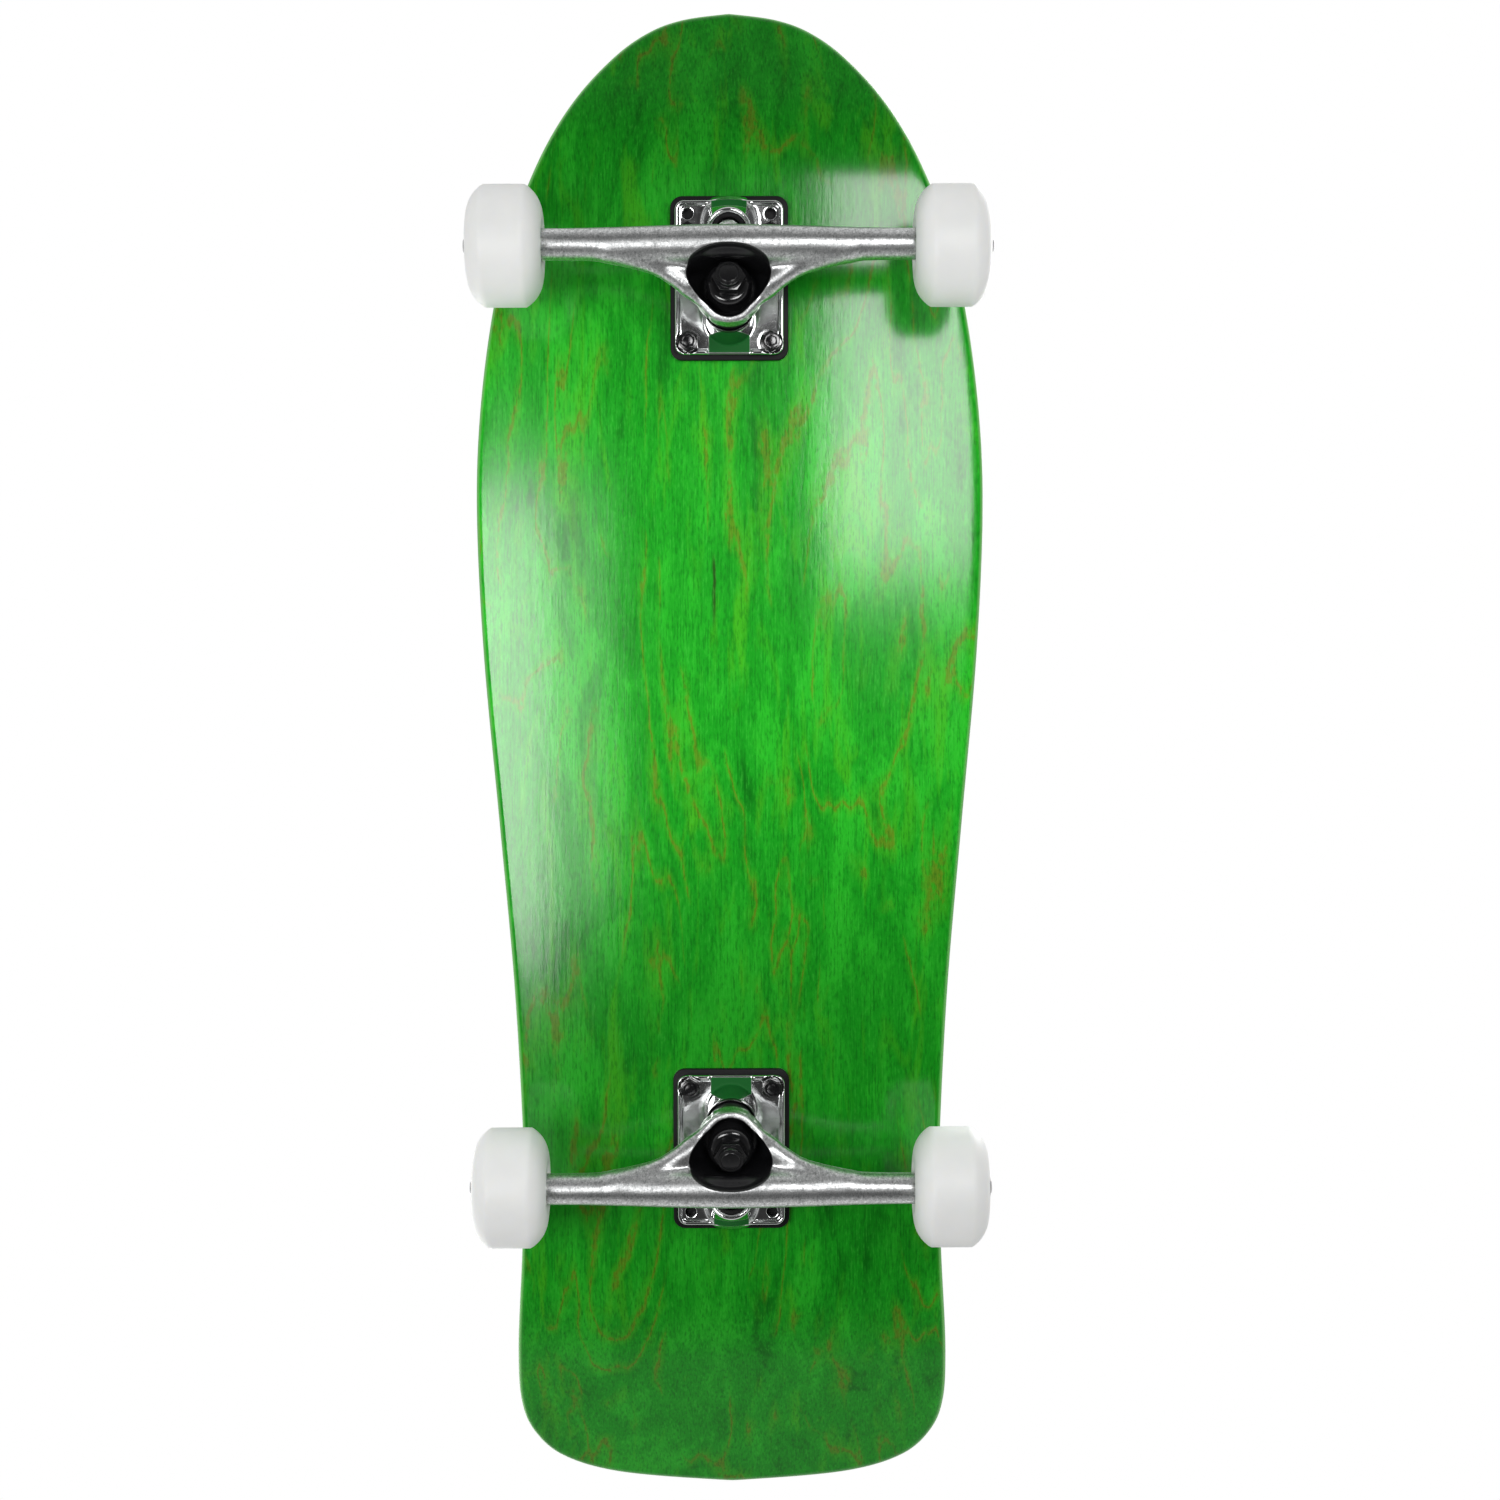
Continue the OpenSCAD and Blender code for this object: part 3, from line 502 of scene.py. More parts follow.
# ---- Grip sheet ----
# A black abrasive sheet with a glue back, rolled onto the top of the deck, trimmed just inside its
# edge and pierced over the bolt heads. Its grit is silicon carbide on a woven backing.

GRIP_THICKNESS = 0.9
GRIP_INSET = 3.0


def grit():
    material, tree, shader = finish_material("grip grit", Specular_IOR_Level=0.2)
    place = object_place(tree)
    cells = add(tree, "ShaderNodeTexVoronoi", {"Vector": place, "Scale": 1400.0, "Randomness": 1.0})
    grain = step_up(tree, cells.outputs["Distance"], 0.75, 0.05)
    patch = noise(tree, place, 40.0, 4.0)
    spark = step_up(tree, split(tree, cells.outputs["Color"])[0], 0.86, 0.98)
    dark = tint(tree, patch, (0.009, 0.009, 0.010, 1), (0.017, 0.017, 0.018, 1))
    tree.links.new(tint(tree, calc(tree, "MULTIPLY", spark, 0.35), dark, (0.16, 0.16, 0.17, 1)),
                   shader.inputs["Base Color"])
    tree.links.new(calc(tree, "MULTIPLY_ADD", spark, -0.5, 0.88), shader.inputs["Roughness"])
    tree.links.new(bump(tree, grain, 0.00022, 0.7), shader.inputs["Normal"])
    return material


grip_black = grit()
griptape = sheet_blank("griptape_visual", GRIP_INSET, DECK_THICKNESS, DECK_THICKNESS + GRIP_THICKNESS,
                       0.02, 0.3)
shape_with(griptape, press("grip press", grip_black), PRESS_SIZES)
grip_cutter = bolt_cutter("grip_bores", UNDERSIDE_HEIGHT + DECK_THICKNESS - 1, 5.2)
drill(griptape, grip_cutter)
settled(griptape)
bpy.data.objects.remove(grip_cutter)
stand_in(griptape, "griptape", "board")

# ---- Risers ----
# A flat black plastic pad between each baseplate and the deck, a little larger than the plate. It is
# injection moulded, with a soft edge, and clamped by the four truck bolts.


def mask_group(name, inputs, outputs):
    """Empty shader group: inputs are numbers with their usual values, outputs are masks."""
    tree = bpy.data.node_groups.new(name, "ShaderNodeTree")
    for label, value in inputs.items():
        kind = "NodeSocketFloat" if isinstance(value, float) else "NodeSocketVector"
        socket = tree.interface.new_socket(label, in_out="INPUT", socket_type=kind)
        if isinstance(value, float):
            socket.default_value = value
    for label, kind in outputs.items():
        tree.interface.new_socket(label, in_out="OUTPUT", socket_type=kind)
    return tree, tree.nodes.new("NodeGroupInput").outputs, tree.nodes.new("NodeGroupOutput").inputs


def speckle_group():
    """Fine pits and a slow unevenness, as left by moulding, casting or tumbling."""
    tree, given, out = mask_group(
        "surface speckle", {"Place": None, "Pit size": 0.3, "Cloud size": 6.0},
        {"Pits": "NodeSocketFloat", "Clouds": "NodeSocketFloat"})
    fine = calc(tree, "DIVIDE", 1000.0, given["Pit size"])
    coarse = calc(tree, "DIVIDE", 1000.0, given["Cloud size"])
    tree.links.new(noise(tree, given["Place"], fine, 2.0, 0.6), out["Pits"])
    tree.links.new(noise(tree, given["Place"], coarse, 3.0, 0.6), out["Clouds"])
    return tree


SPECKLE = speckle_group()


def effect(tree, group, **values):
    made = tree.nodes.new("ShaderNodeGroup")
    made.node_tree = group
    for key, value in values.items():
        socket = made.inputs[key.replace("_", " ")]
        if isinstance(value, bpy.types.NodeSocket):
            tree.links.new(value, socket)
        else:
            socket.default_value = value
    return made.outputs


def speckled(name, pit, cloud, dark, light, gloss, relief, **values):
    """Finish with a cloudy colour, an uneven gloss and fine pits: pit and cloud are sizes in millimetres,
    gloss is the mask that moves the roughness, by how much and from where."""
    material, tree, shader = finish_material(name, **values)
    marks = effect(tree, SPECKLE, Place=object_place(tree), Pit_size=pit, Cloud_size=cloud)
    mask, reach, least = gloss
    tree.links.new(tint(tree, marks["Clouds"], dark, light), shader.inputs["Base Color"])
    tree.links.new(calc(tree, "MULTIPLY_ADD", marks[mask], reach, least), shader.inputs["Roughness"])
    tree.links.new(bump(tree, marks["Pits"], *relief), shader.inputs["Normal"])
    return material


def refined(node, name, body, material, bevel=0.3, sharp=30.0):
    """Copy of a CAD part with its triangles joined, its edges rounded and its faces shaded smooth."""
    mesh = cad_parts[node].data.copy()
    mesh.materials.clear()
    mesh.materials.append(material)
    shell = bmesh.new()
    shell.from_mesh(mesh)
    bmesh.ops.remove_doubles(shell, verts=shell.verts, dist=0.002 * MM)
    bmesh.ops.dissolve_limit(shell, angle_limit=math.radians(0.8), verts=shell.verts, edges=shell.edges)
    shell.to_mesh(mesh)
    shell.free()
    piece = link(name, mesh)
    if bevel:
        round_over = piece.modifiers.new("rounded edges", "BEVEL")
        round_over.width, round_over.segments, round_over.limit_method = bevel * MM, 3, "ANGLE"
        round_over.angle_limit = math.radians(sharp)
        settled(piece, smooth=False)
    piece.data.shade_smooth()
    piece.data.set_sharp_from_angle(angle=math.radians(sharp))
    stand_in(piece, node, body)


moulded_black = speckled(
    "moulded black plastic", 0.35, 9.0, (0.005, 0.005, 0.0055, 1), (0.009, 0.009, 0.010, 1),
    ("Clouds", 0.15, 0.38), (0.00003, 0.4), Specular_IOR_Level=0.15)
for end in ENDS:
    refined(end + "_riser", end + "_riser_visual", "board", moulded_black, bevel=0.6)

# ---- Baseplates ----
# Die-cast aluminium, tumbled and then polished bright on the side that faces the road. A raised rim
# runs round the flange, a ramp between two ribs carries the kingpin, and a boss holds the pivot cup.

FLANGE_Z = 77.0
KINGPIN_LEAN = math.radians(17)
KINGPIN_FOOT = Vector((30.5, 0, 82.0))
KINGPIN_DOWN = Vector((-math.sin(KINGPIN_LEAN), 0, -math.cos(KINGPIN_LEAN)))
KINGPIN_SIDE = Vector((math.cos(KINGPIN_LEAN), 0, -math.sin(KINGPIN_LEAN)))
PIVOT_LEAN = math.radians(20)
PIVOT_BALL = Vector((-15.0, 0, 70.0))
PIVOT_OUT = Vector((math.sin(PIVOT_LEAN), 0, -math.cos(PIVOT_LEAN)))
PLATE_TOP = 82.0
PLATE_MIDDLE = 8.0
PLATE_CORE = 80.0
RAMP_SIDE = [(46.0, 80.0), (45.4, 76.6), (37.6, 66.0), (24.0, 64.6), (14.0, 80.0)]
RIB_SIDE = [(46.0, 80.0), (46.0, 74.8), (36.5, 66.5), (20.0, 70.0), (12.0, 80.0)]
RIM_OPEN_FROM = 36.0
SEAT_R = 12.0
SEAT_DOWN = 16.0
BOSS_R = 11.97
BOSS_TAPER = 4.0 / 18.5
BOSS_OUT = 4.5
SPARE_U = -23.5
NUT_ROOM_R = 5.9
KINGPIN_HOLE_R = 4.85
WASHER_ROOM_R = 13.4
PIVOT_CUP_R = 8.5
PIVOT_CUP_BACK = -7.5
PLATE_LIMITS = ((-32, -29, 55), (48, 29, 84))
PLATE_VOXEL = 0.42
PLATE_SIZES = {"Flange length": 76.0, "Flange width": 54.0, "Corner radius": 4.5, "Rim width": 1.7,
               "Rim height": 1.4, "Ramp half width": 11.0, "Rib thickness": 2.4, "Fillet": 1.3}


def local_millimetres(tree):
    """Place in the truck's own frame, in millimetres, with both halves of the truck folded onto +Y."""
    x, y, z = split(tree, vector(tree, "SCALE", add(tree, "GeometryNodeInputPosition").outputs[0], 1 / MM))
    return joined(tree, x, calc(tree, "ABSOLUTE", y), z)


def union(tree, a, b, fillet):
    return calc(tree, "SMOOTH_MIN", a, b, fillet)


def common(tree, a, b, fillet):
    return calc(tree, "SMOOTH_MAX", a, b, fillet)


def cut(tree, a, b, fillet):
    return calc(tree, "SMOOTH_MAX", a, calc(tree, "MULTIPLY", b, -1.0), fillet)


def slab(tree, value, low, high):
    """Distance outside the stretch from low to high."""
    middle, half = (low + high) / 2, (high - low) / 2
    return calc(tree, "SUBTRACT", calc(tree, "ABSOLUTE", calc(tree, "SUBTRACT", value, middle)), half)


def plane(tree, point, on, facing):
    """Distance in front of the plane through a point, on the side that it faces."""
    facing = Vector(facing).normalized()
    return calc(tree, "SUBTRACT", vector(tree, "DOT_PRODUCT", point, facing), Vector(on).dot(facing))


def side_profile(tree, point, corners, fillet):
    """Convex outline in the side view, corners as (x, z) in clockwise order, endless across."""
    result = None
    for (x0, z0), (x1, z1) in zip(corners, corners[1:] + corners[:1]):
        face = plane(tree, point, (x0, 0, z0), (z1 - z0, 0, x0 - x1))
        result = face if result is None else common(tree, result, face, fillet)
    return result


def axis_parts(tree, point, origin, direction):
    """Distance along an axis from its origin, and the distance square to it."""
    away = vector(tree, "SUBTRACT", point, origin)
    along = vector(tree, "DOT_PRODUCT", away, direction)
    foot = vector(tree, "SCALE", direction, along)
    return along, vector(tree, "LENGTH", vector(tree, "SUBTRACT", away, foot))


def limb(tree, point, a, b, r_a, r_b):
    """Round bar from a to b that tapers from one radius to the other."""
    a, b = Vector(a), Vector(b)
    away = vector(tree, "SUBTRACT", point, a)
    share = calc(tree, "MULTIPLY", vector(tree, "DOT_PRODUCT", away, b - a), 1 / (b - a).length_squared,
                 clamp=True)
    gap = vector(tree, "LENGTH", vector(tree, "SUBTRACT", away, vector(tree, "SCALE", b - a, share)))
    return calc(tree, "SUBTRACT", gap, calc(tree, "MULTIPLY_ADD", share, r_b - r_a, r_a))


def rounded_rectangle(tree, point, middle_x, length, width, corner):
    """Distance outside an upright prism with rounded corners, centred on middle_x."""
    x, y, z = split(tree, point)
    dx = calc(tree, "SUBTRACT", calc(tree, "ABSOLUTE", calc(tree, "SUBTRACT", x, middle_x)),
              calc(tree, "MULTIPLY_ADD", length, 0.5, calc(tree, "MULTIPLY", corner, -1.0)))
    dy = calc(tree, "SUBTRACT", y,
              calc(tree, "MULTIPLY_ADD", width, 0.5, calc(tree, "MULTIPLY", corner, -1.0)))
    outside = vector(tree, "LENGTH", joined(
        tree, calc(tree, "MAXIMUM", dx, 0.0), calc(tree, "MAXIMUM", dy, 0.0), 0.0))
    inside = calc(tree, "MINIMUM", calc(tree, "MAXIMUM", dx, dy), 0.0)
    return calc(tree, "SUBTRACT", calc(tree, "ADD", outside, inside), corner)


def solid_from(tree, distance, limits, voxel, material, **kept_fields):
    """Skin of the solid where the distance field is below zero, inside a box given in millimetres.
    Its place in the truck's frame, and any other field named, stay on it for its material."""
    low, high = Vector(limits[0]), Vector(limits[1])
    counts = [max(8, int(side / voxel)) for side in high - low]
    density = calc(tree, "MULTIPLY_ADD", distance, -0.1, 0.5)
    cube = add(tree, "GeometryNodeVolumeCube", {
        "Density": density, "Min": low * MM, "Max": high * MM,
        "Resolution X": counts[0], "Resolution Y": counts[1], "Resolution Z": counts[2]})
    skin = add(tree, "GeometryNodeVolumeToMesh", {"Volume": cube.outputs[0], "Threshold": 0.5})
    here = add(tree, "GeometryNodeInputPosition").outputs[0]
    kept = add(tree, "GeometryNodeStoreNamedAttribute",
               {"Geometry": skin.outputs[0], "Name": "place", "Value": here},
               data_type="FLOAT_VECTOR", domain="POINT").outputs[0]
    for name, field in kept_fields.items():
        kept = add(tree, "GeometryNodeStoreNamedAttribute",
                   {"Geometry": kept, "Name": name, "Value": field},
                   data_type="FLOAT", domain="POINT").outputs[0]
    end_tree(tree, kept, material)


def cast_piece(name, tree, sizes, end):
    """Runs a casting's tree in the truck's frame, then moves its mesh to the truck's place."""
    piece = link(name, bpy.data.meshes.new(name))
    shape_with(piece, tree, sizes)
    settled(piece)
    relax = piece.modifiers.new("fettled", "SMOOTH")
    relax.factor, relax.iterations = 0.5, 2
    settled(piece)
    piece.data.transform(truck_place(end))
    return piece


def plate_tree(material):
    tree, size = shape_tree("baseplate casting", PLATE_SIZES)
    point = local_millimetres(tree)
    x, y, z = split(tree, point)
    fillet = size["Fillet"]
    plan = rounded_rectangle(tree, point, PLATE_MIDDLE, size["Flange length"], size["Flange width"],
                             size["Corner radius"])
    body = common(tree, plan, slab(tree, z, FLANGE_Z, PLATE_TOP), 0.8)
    half_rim = calc(tree, "MULTIPLY", size["Rim width"], 0.5)
    band = calc(tree, "SUBTRACT", calc(tree, "ABSOLUTE", calc(tree, "ADD", plan, half_rim)), half_rim)
    rim_end = calc(tree, "SUBTRACT", calc(tree, "SUBTRACT", FLANGE_Z, size["Rim height"]), z)
    rim = common(tree, common(tree, band, rim_end, 0.9), calc(tree, "SUBTRACT", z, FLANGE_Z + 2), 0.3)
    gap = calc(tree, "MAXIMUM", calc(tree, "SUBTRACT", y, size["Ramp half width"]),
               calc(tree, "SUBTRACT", RIM_OPEN_FROM, x))
    body = union(tree, body, cut(tree, rim, gap, 0.6), fillet)
    ramp = side_profile(tree, point, RAMP_SIDE, 0.9)
    ramp = common(tree, ramp, calc(tree, "SUBTRACT", y, size["Ramp half width"]), 0.8)
    body = union(tree, body, ramp, fillet)
    down, off_pin = axis_parts(tree, point, KINGPIN_FOOT, KINGPIN_DOWN)
    core = calc(tree, "SUBTRACT", z, PLATE_CORE)
    seat = common(tree, calc(tree, "SUBTRACT", off_pin, SEAT_R), calc(tree, "SUBTRACT", down, SEAT_DOWN), 0.9)
    body = union(tree, body, common(tree, seat, core, 0.5), fillet)
    rib_out = calc(tree, "ADD", size["Ramp half width"], size["Rib thickness"])
    rib_in = calc(tree, "SUBTRACT", size["Ramp half width"], 1.0)
    rib = common(tree, side_profile(tree, point, RIB_SIDE, 1.2), calc(tree, "SUBTRACT", y, rib_out), 1.0)
    rib = common(tree, rib, calc(tree, "SUBTRACT", rib_in, y), 0.6)
    body = union(tree, body, rib, fillet)
    out, off_pivot = axis_parts(tree, point, PIVOT_BALL, PIVOT_OUT)
    cone = calc(tree, "ADD", off_pivot, calc(tree, "MULTIPLY_ADD", out, BOSS_TAPER, -BOSS_R))
    boss = common(tree, cone, calc(tree, "SUBTRACT", out, BOSS_OUT), 1.6)
    boss = common(tree, boss, core, 0.5)
    body = union(tree, body, boss, calc(tree, "MULTIPLY", fillet, 2.2))
    # four bolt holes, two spare ones, and room for the nuts of the two at the ramp
    upright = Vector((0, 0, 1))
    for u in BOLT_U + (SPARE_U,):
        off_hole = axis_parts(tree, point, (u, BOLT_SPACING / 2, 0.0), upright)[1]
        body = cut(tree, body, calc(tree, "SUBTRACT", off_hole, BOLT_HOLE_R), 0.5)
    off_nut = axis_parts(tree, point, (BOLT_U[0], BOLT_SPACING / 2, 0.0), upright)[1]
    nut_room = calc(tree, "MAXIMUM", calc(tree, "SUBTRACT", off_nut, NUT_ROOM_R),
                    calc(tree, "SUBTRACT", z, FLANGE_Z))
    body = cut(tree, body, nut_room, 0.5)
    # the kingpin's hole, room for the cup washer under it, and the pivot cup's bore
    body = cut(tree, body, calc(tree, "SUBTRACT", off_pin, KINGPIN_HOLE_R), 0.4)
    body = cut(tree, body, calc(tree, "MAXIMUM", calc(tree, "SUBTRACT", off_pin, WASHER_ROOM_R),
                                calc(tree, "SUBTRACT", SEAT_DOWN, down)), 0.5)
    body = cut(tree, body, calc(tree, "MAXIMUM", calc(tree, "SUBTRACT", off_pivot, PIVOT_CUP_R),
                                calc(tree, "SUBTRACT", PIVOT_CUP_BACK, out)), 0.5)
    body = common(tree, body, calc(tree, "SUBTRACT", z, PLATE_TOP), 0.3)
    solid_from(tree, body, PLATE_LIMITS, PLATE_VOXEL, material)
    return tree


def scratch_group():
    """Hairline scratches that run mostly one way, broken up into short strokes."""
    tree, given, out = mask_group(
        "hairline scratches", {"Place": None, "Spacing": 0.4, "Length": 8.0}, {"Lines": "NodeSocketFloat"})
    across = calc(tree, "DIVIDE", 1000.0, given["Spacing"])
    along = calc(tree, "DIVIDE", 1000.0, given["Length"])
    x, y, z = split(tree, given["Place"])
    drawn = joined(tree, calc(tree, "MULTIPLY", x, across), calc(tree, "MULTIPLY", y, along),
                   calc(tree, "MULTIPLY", z, across))
    strokes = noise(tree, drawn, 1.0, 2.0, 0.5, 0.4)
    tree.links.new(step_up(tree, strokes, 0.62, 0.72), out["Lines"])
    return tree


SCRATCHES = scratch_group()
# painted reflection: the green of the deck as it shows in the polished ramp and pivot slope
DECK_REFLECTION_GREEN = (0.010, 0.125, 0.022, 1)


def polished_casting():
    """Bright polished aluminium, faintly wavy, with painted reflections of the green deck on ramp and pivot.
    """
    material, tree, shader = finish_material("polished casting", Specular_IOR_Level=0.1)
    place = add(tree, "ShaderNodeAttribute", attribute_name="place").outputs["Vector"]
    marks = effect(tree, SPECKLE, Place=place, Pit_size=0.5, Cloud_size=7.0)
    lines = effect(tree, SCRATCHES, Place=place, Spacing=0.25, Length=9.0)["Lines"]
    x, y, z = split(tree, vector(tree, "SCALE", place, 1 / MM))
    wide = calc(tree, "ABSOLUTE", y)
    # painted reflection of the green deck: matte, not metal, on the ramp and behind the pivot boss
    ramp = calc(tree, "MULTIPLY", step_up(tree, x, 36.3, 36.7), step_up(tree, wide, 10.4, 10.1))
    ramp = calc(tree, "MULTIPLY", ramp, step_up(tree, x, 45.3, 45.0))
    foot = calc(tree, "MULTIPLY", step_up(tree, x, -25.2, -25.5), step_up(tree, x, -29.9, -29.6))
    foot = calc(tree, "MULTIPLY", foot, step_up(tree, wide, 9.0, 8.7))
    painted_deck_reflection = calc(tree, "ADD", ramp, foot, clamp=True)
    metal = tint(tree, marks["Clouds"], (0.60, 0.61, 0.61, 1), (0.76, 0.77, 0.77, 1))
    metal = tint(tree, calc(tree, "MULTIPLY", lines, 0.25), metal, (0.42, 0.42, 0.42, 1))
    tree.links.new(tint(tree, painted_deck_reflection, metal, DECK_REFLECTION_GREEN), shader.inputs["Base Color"])
    tree.links.new(calc(tree, "SUBTRACT", 1.0, painted_deck_reflection), shader.inputs["Metallic"])
    rough = calc(tree, "MULTIPLY_ADD", marks["Clouds"], 0.08, 0.07)
    rough = calc(tree, "MULTIPLY_ADD", lines, 0.10, rough)
    tree.links.new(calc(tree, "MULTIPLY_ADD", painted_deck_reflection, 0.4, rough), shader.inputs["Roughness"])
    low = bump(tree, marks["Clouds"], 0.0003, 0.15)
    tree.links.new(bump(tree, marks["Pits"], 0.00001, 0.4, low), shader.inputs["Normal"])
    return material


bright = polished_casting()
plate_shape = plate_tree(bright)
for end in ENDS:
    baseplate = cast_piece(end + "_baseplate_visual", plate_shape, PLATE_SIZES, end)
    stand_in(baseplate, end + "_baseplate", "board")

# ---- Truck bolts and lock nuts ----
# Eight countersunk machine screws in black oxide, driven from above with a cross recess, and eight
# lock nuts with a round collar that bear on the flange of the baseplate.


def black_oxide(name, specular, roughness):
    material, tree, shader = finish_material(name, Specular_IOR_Level=specular)
    place = object_place(tree)
    marks = effect(tree, SPECKLE, Place=place, Pit_size=0.25, Cloud_size=3.0)
    lines = effect(tree, SCRATCHES, Place=place, Spacing=0.3, Length=3.0)["Lines"]
    base = tint(tree, marks["Clouds"], (0.004, 0.004, 0.0045, 1), (0.009, 0.009, 0.010, 1))
    tree.links.new(tint(tree, calc(tree, "MULTIPLY", lines, 0.25), base, (0.05, 0.05, 0.05, 1)),
                   shader.inputs["Base Color"])
    tree.links.new(calc(tree, "MULTIPLY_ADD", marks["Clouds"], 0.08, roughness), shader.inputs["Roughness"])
    tree.links.new(bump(tree, marks["Pits"], 0.00003, 0.5), shader.inputs["Normal"])
    return material


black_metal = black_oxide("black oxide", 0.9, 0.08)
dull_black = black_oxide("dull black oxide", 0.08, 0.5)
for end in ENDS:
    for part, bevel in (("_mount_bolts", 0.15), ("_mount_nuts", 0.3)):
        refined(end + part, end + part + "_visual", "board", black_metal, bevel)

# ---- Pivot cups ----
# A cup of tough black plastic, moulded, and pressed into the boss of each baseplate. The ball of the
# hanger turns in it.

for end in ENDS:
    refined(end + "_pivot_cup", end + "_pivot_cup_visual", "board", moulded_black, 0.35)

# ---- Kingpins, cup washers and nuts ----
# The kingpin is a black steel bolt through the baseplate, the two bushings and the hanger's ring. A
# cup washer closes each bushing, and a lock nut sets how tight the truck is.

# section of the lower cup washer, as distance from the kingpin's axis and down it
ROAD_WASHER = [(4.95, 47.7), (4.95, 49.3), (7.8, 49.3), (8.8, 49.2), (9.6, 48.95), (10.3, 48.5),
               (10.8, 47.9), (11.15, 47.2), (11.35, 46.4), (11.1, 46.2), (10.8, 46.5), (10.4, 47.3),
               (9.9, 47.7)]


def kingpin_place(end):
    """From a frame with +Z down the kingpin and its origin at the kingpin's foot, to the board's frame."""
    axes = Matrix((KINGPIN_SIDE, Vector((0, -1, 0)), KINGPIN_DOWN)).transposed().to_4x4()
    return truck_place(end) @ Matrix.Translation(KINGPIN_FOOT * MM) @ axes


def turned_piece(name, profile, segments, place, material, sharp):
    """Turned solid moved to its place, with its material, shaded smooth up to a sharp angle."""
    piece = turned_solid(name, profile, segments)
    piece.data.transform(place)
    piece.data.materials.append(material)
    piece.data.shade_smooth()
    piece.data.set_sharp_from_angle(angle=math.radians(sharp))
    return piece


for end in ENDS:
    for part, bevel in (("_kingpin", 0.4), ("_board_washer", 0.25), ("_kingpin_nut", 0.6)):
        refined(end + part, end + part + "_visual", "board", black_metal, bevel)
    washer = turned_piece(end + "_road_washer_visual", ROAD_WASHER, 96, kingpin_place(end), black_metal, 50)
    stand_in(washer, end + "_road_washer", "board")

# ---- Bushings ----
# Two cast urethane cushions on each kingpin, above and below the hanger's ring. They squeeze and lean
# with the hanger as the board is tilted, and push it back to the middle.


BUSHING_R = 11.2
BUSHING_BORE = 5.0
SEAT_TOP = 17.6
RING_FROM = 31.6
RING_TO = 37.2
ROAD_END = 47.7
BOARD_BUSHING = [(BUSHING_BORE, SEAT_TOP), (10.4, SEAT_TOP), (10.9, SEAT_TOP + 0.4), (BUSHING_R, 19.2),
                 (11.35, 24.5), (BUSHING_R, 30.0), (10.9, 31.1), (10.3, RING_FROM), (BUSHING_BORE, RING_FROM)]
ROAD_BUSHING = [(BUSHING_BORE, RING_TO), (10.3, RING_TO), (10.9, 37.7), (BUSHING_R, 38.6), (10.7, 42.5),
                (9.7, 46.4), (9.3, 47.3), (8.8, ROAD_END), (BUSHING_BORE, ROAD_END)]


def dense(profile, step=0.7):
    """Profile with its long runs cut into short ones."""
    points = []
    for (r0, h0), (r1, h1) in zip(profile, profile[1:]):
        pieces = max(1, round(math.hypot(r1 - r0, h1 - h0) / step))
        points += [(r0 + (r1 - r0) * k / pieces, h0 + (h1 - h0) * k / pieces) for k in range(pieces)]
    return points + [profile[-1]]


black_urethane = speckled(
    "black urethane", 0.6, 5.0, (0.007, 0.007, 0.008, 1), (0.014, 0.014, 0.015, 1),
    ("Clouds", 0.15, 0.28), (0.00002, 0.4), Specular_IOR_Level=0.5)
for end in ENDS:
    for part, profile, ring_height, far_height in (
        ("board_bushing", BOARD_BUSHING, RING_FROM, SEAT_TOP),
        ("road_bushing", ROAD_BUSHING, RING_TO, ROAD_END),
    ):
        bushing = turned_piece(f"{end}_{part}_visual", dense(profile), 64, kingpin_place(end),
                               black_urethane, 40)
        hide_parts(f"{end}_{part}")
        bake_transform(bushing)

# ---- Hangers ----
# One aluminium casting per truck: a bar that holds the axle, a cup round the kingpin nut, and a neck
# that ends in the pivot ball. It is tumbled smooth and polished, with fine speckle left in the skin,
# and the inside of its cup is darkened to near black with painted shade.

HANGER_SIZES = {"Middle radius": 9.5, "End radius": 7.6, "Bar offset": 0.7, "Half length": 94.2,
                "Cup wall at tip": 3.5, "Cup wall at sides": 2.9, "Rim rounding": 1.2, "Blend": 8.0}
AXLE_Z = 29.0
# the cup opens from a round foot to a rounded triangle: (along, across, radius) at foot and at rim
CUP_TIP = ((0.5, 0.0, 12.2), (4.8, 0.0, 11.6))
CUP_SIDE = ((-0.5, 1.5, 12.0), (-1.6, 10.0, 9.9))
CUP_OPENS = (36.0, 47.0)
CUP_BACK_R = 34.0
CUP_BACK_AT = 10.9
# height of the cup's rim down the kingpin, at its axis and for each millimetre across
RIM_AT_AXIS = 53.3
RIM_SLOPE = -0.4545
ARM_FROM, ARM_BEND, ARM_TO = (17.0, 19.5, 33.5), (9.5, 33.5, 31.0), (2.2, 56.0, 29.0)
NECK_TOP = PIVOT_BALL + PIVOT_OUT * 12.0
NECK_FOOT = KINGPIN_FOOT + KINGPIN_DOWN * 37.0 - KINGPIN_SIDE * 11.0
STEM_LENGTH, STEM_R, BALL_R = 14.0, 4.9, 5.8
WELL_R, WELL_TO = 12.3, 50.0
SLEEVE_HALF, SLEEVE_R = 41.0, 5.7
RING_HOLE_R, RING_HOLE_TO = 7.5, 43.0
BUSHING_SEAT_R, BUSHING_SEAT_FROM = 11.7, 14.0
AXLE_R = 4.0
HANGER_LIMITS = ((-20, -96, 14), (46, 96, 78))
HANGER_VOXEL = 0.62


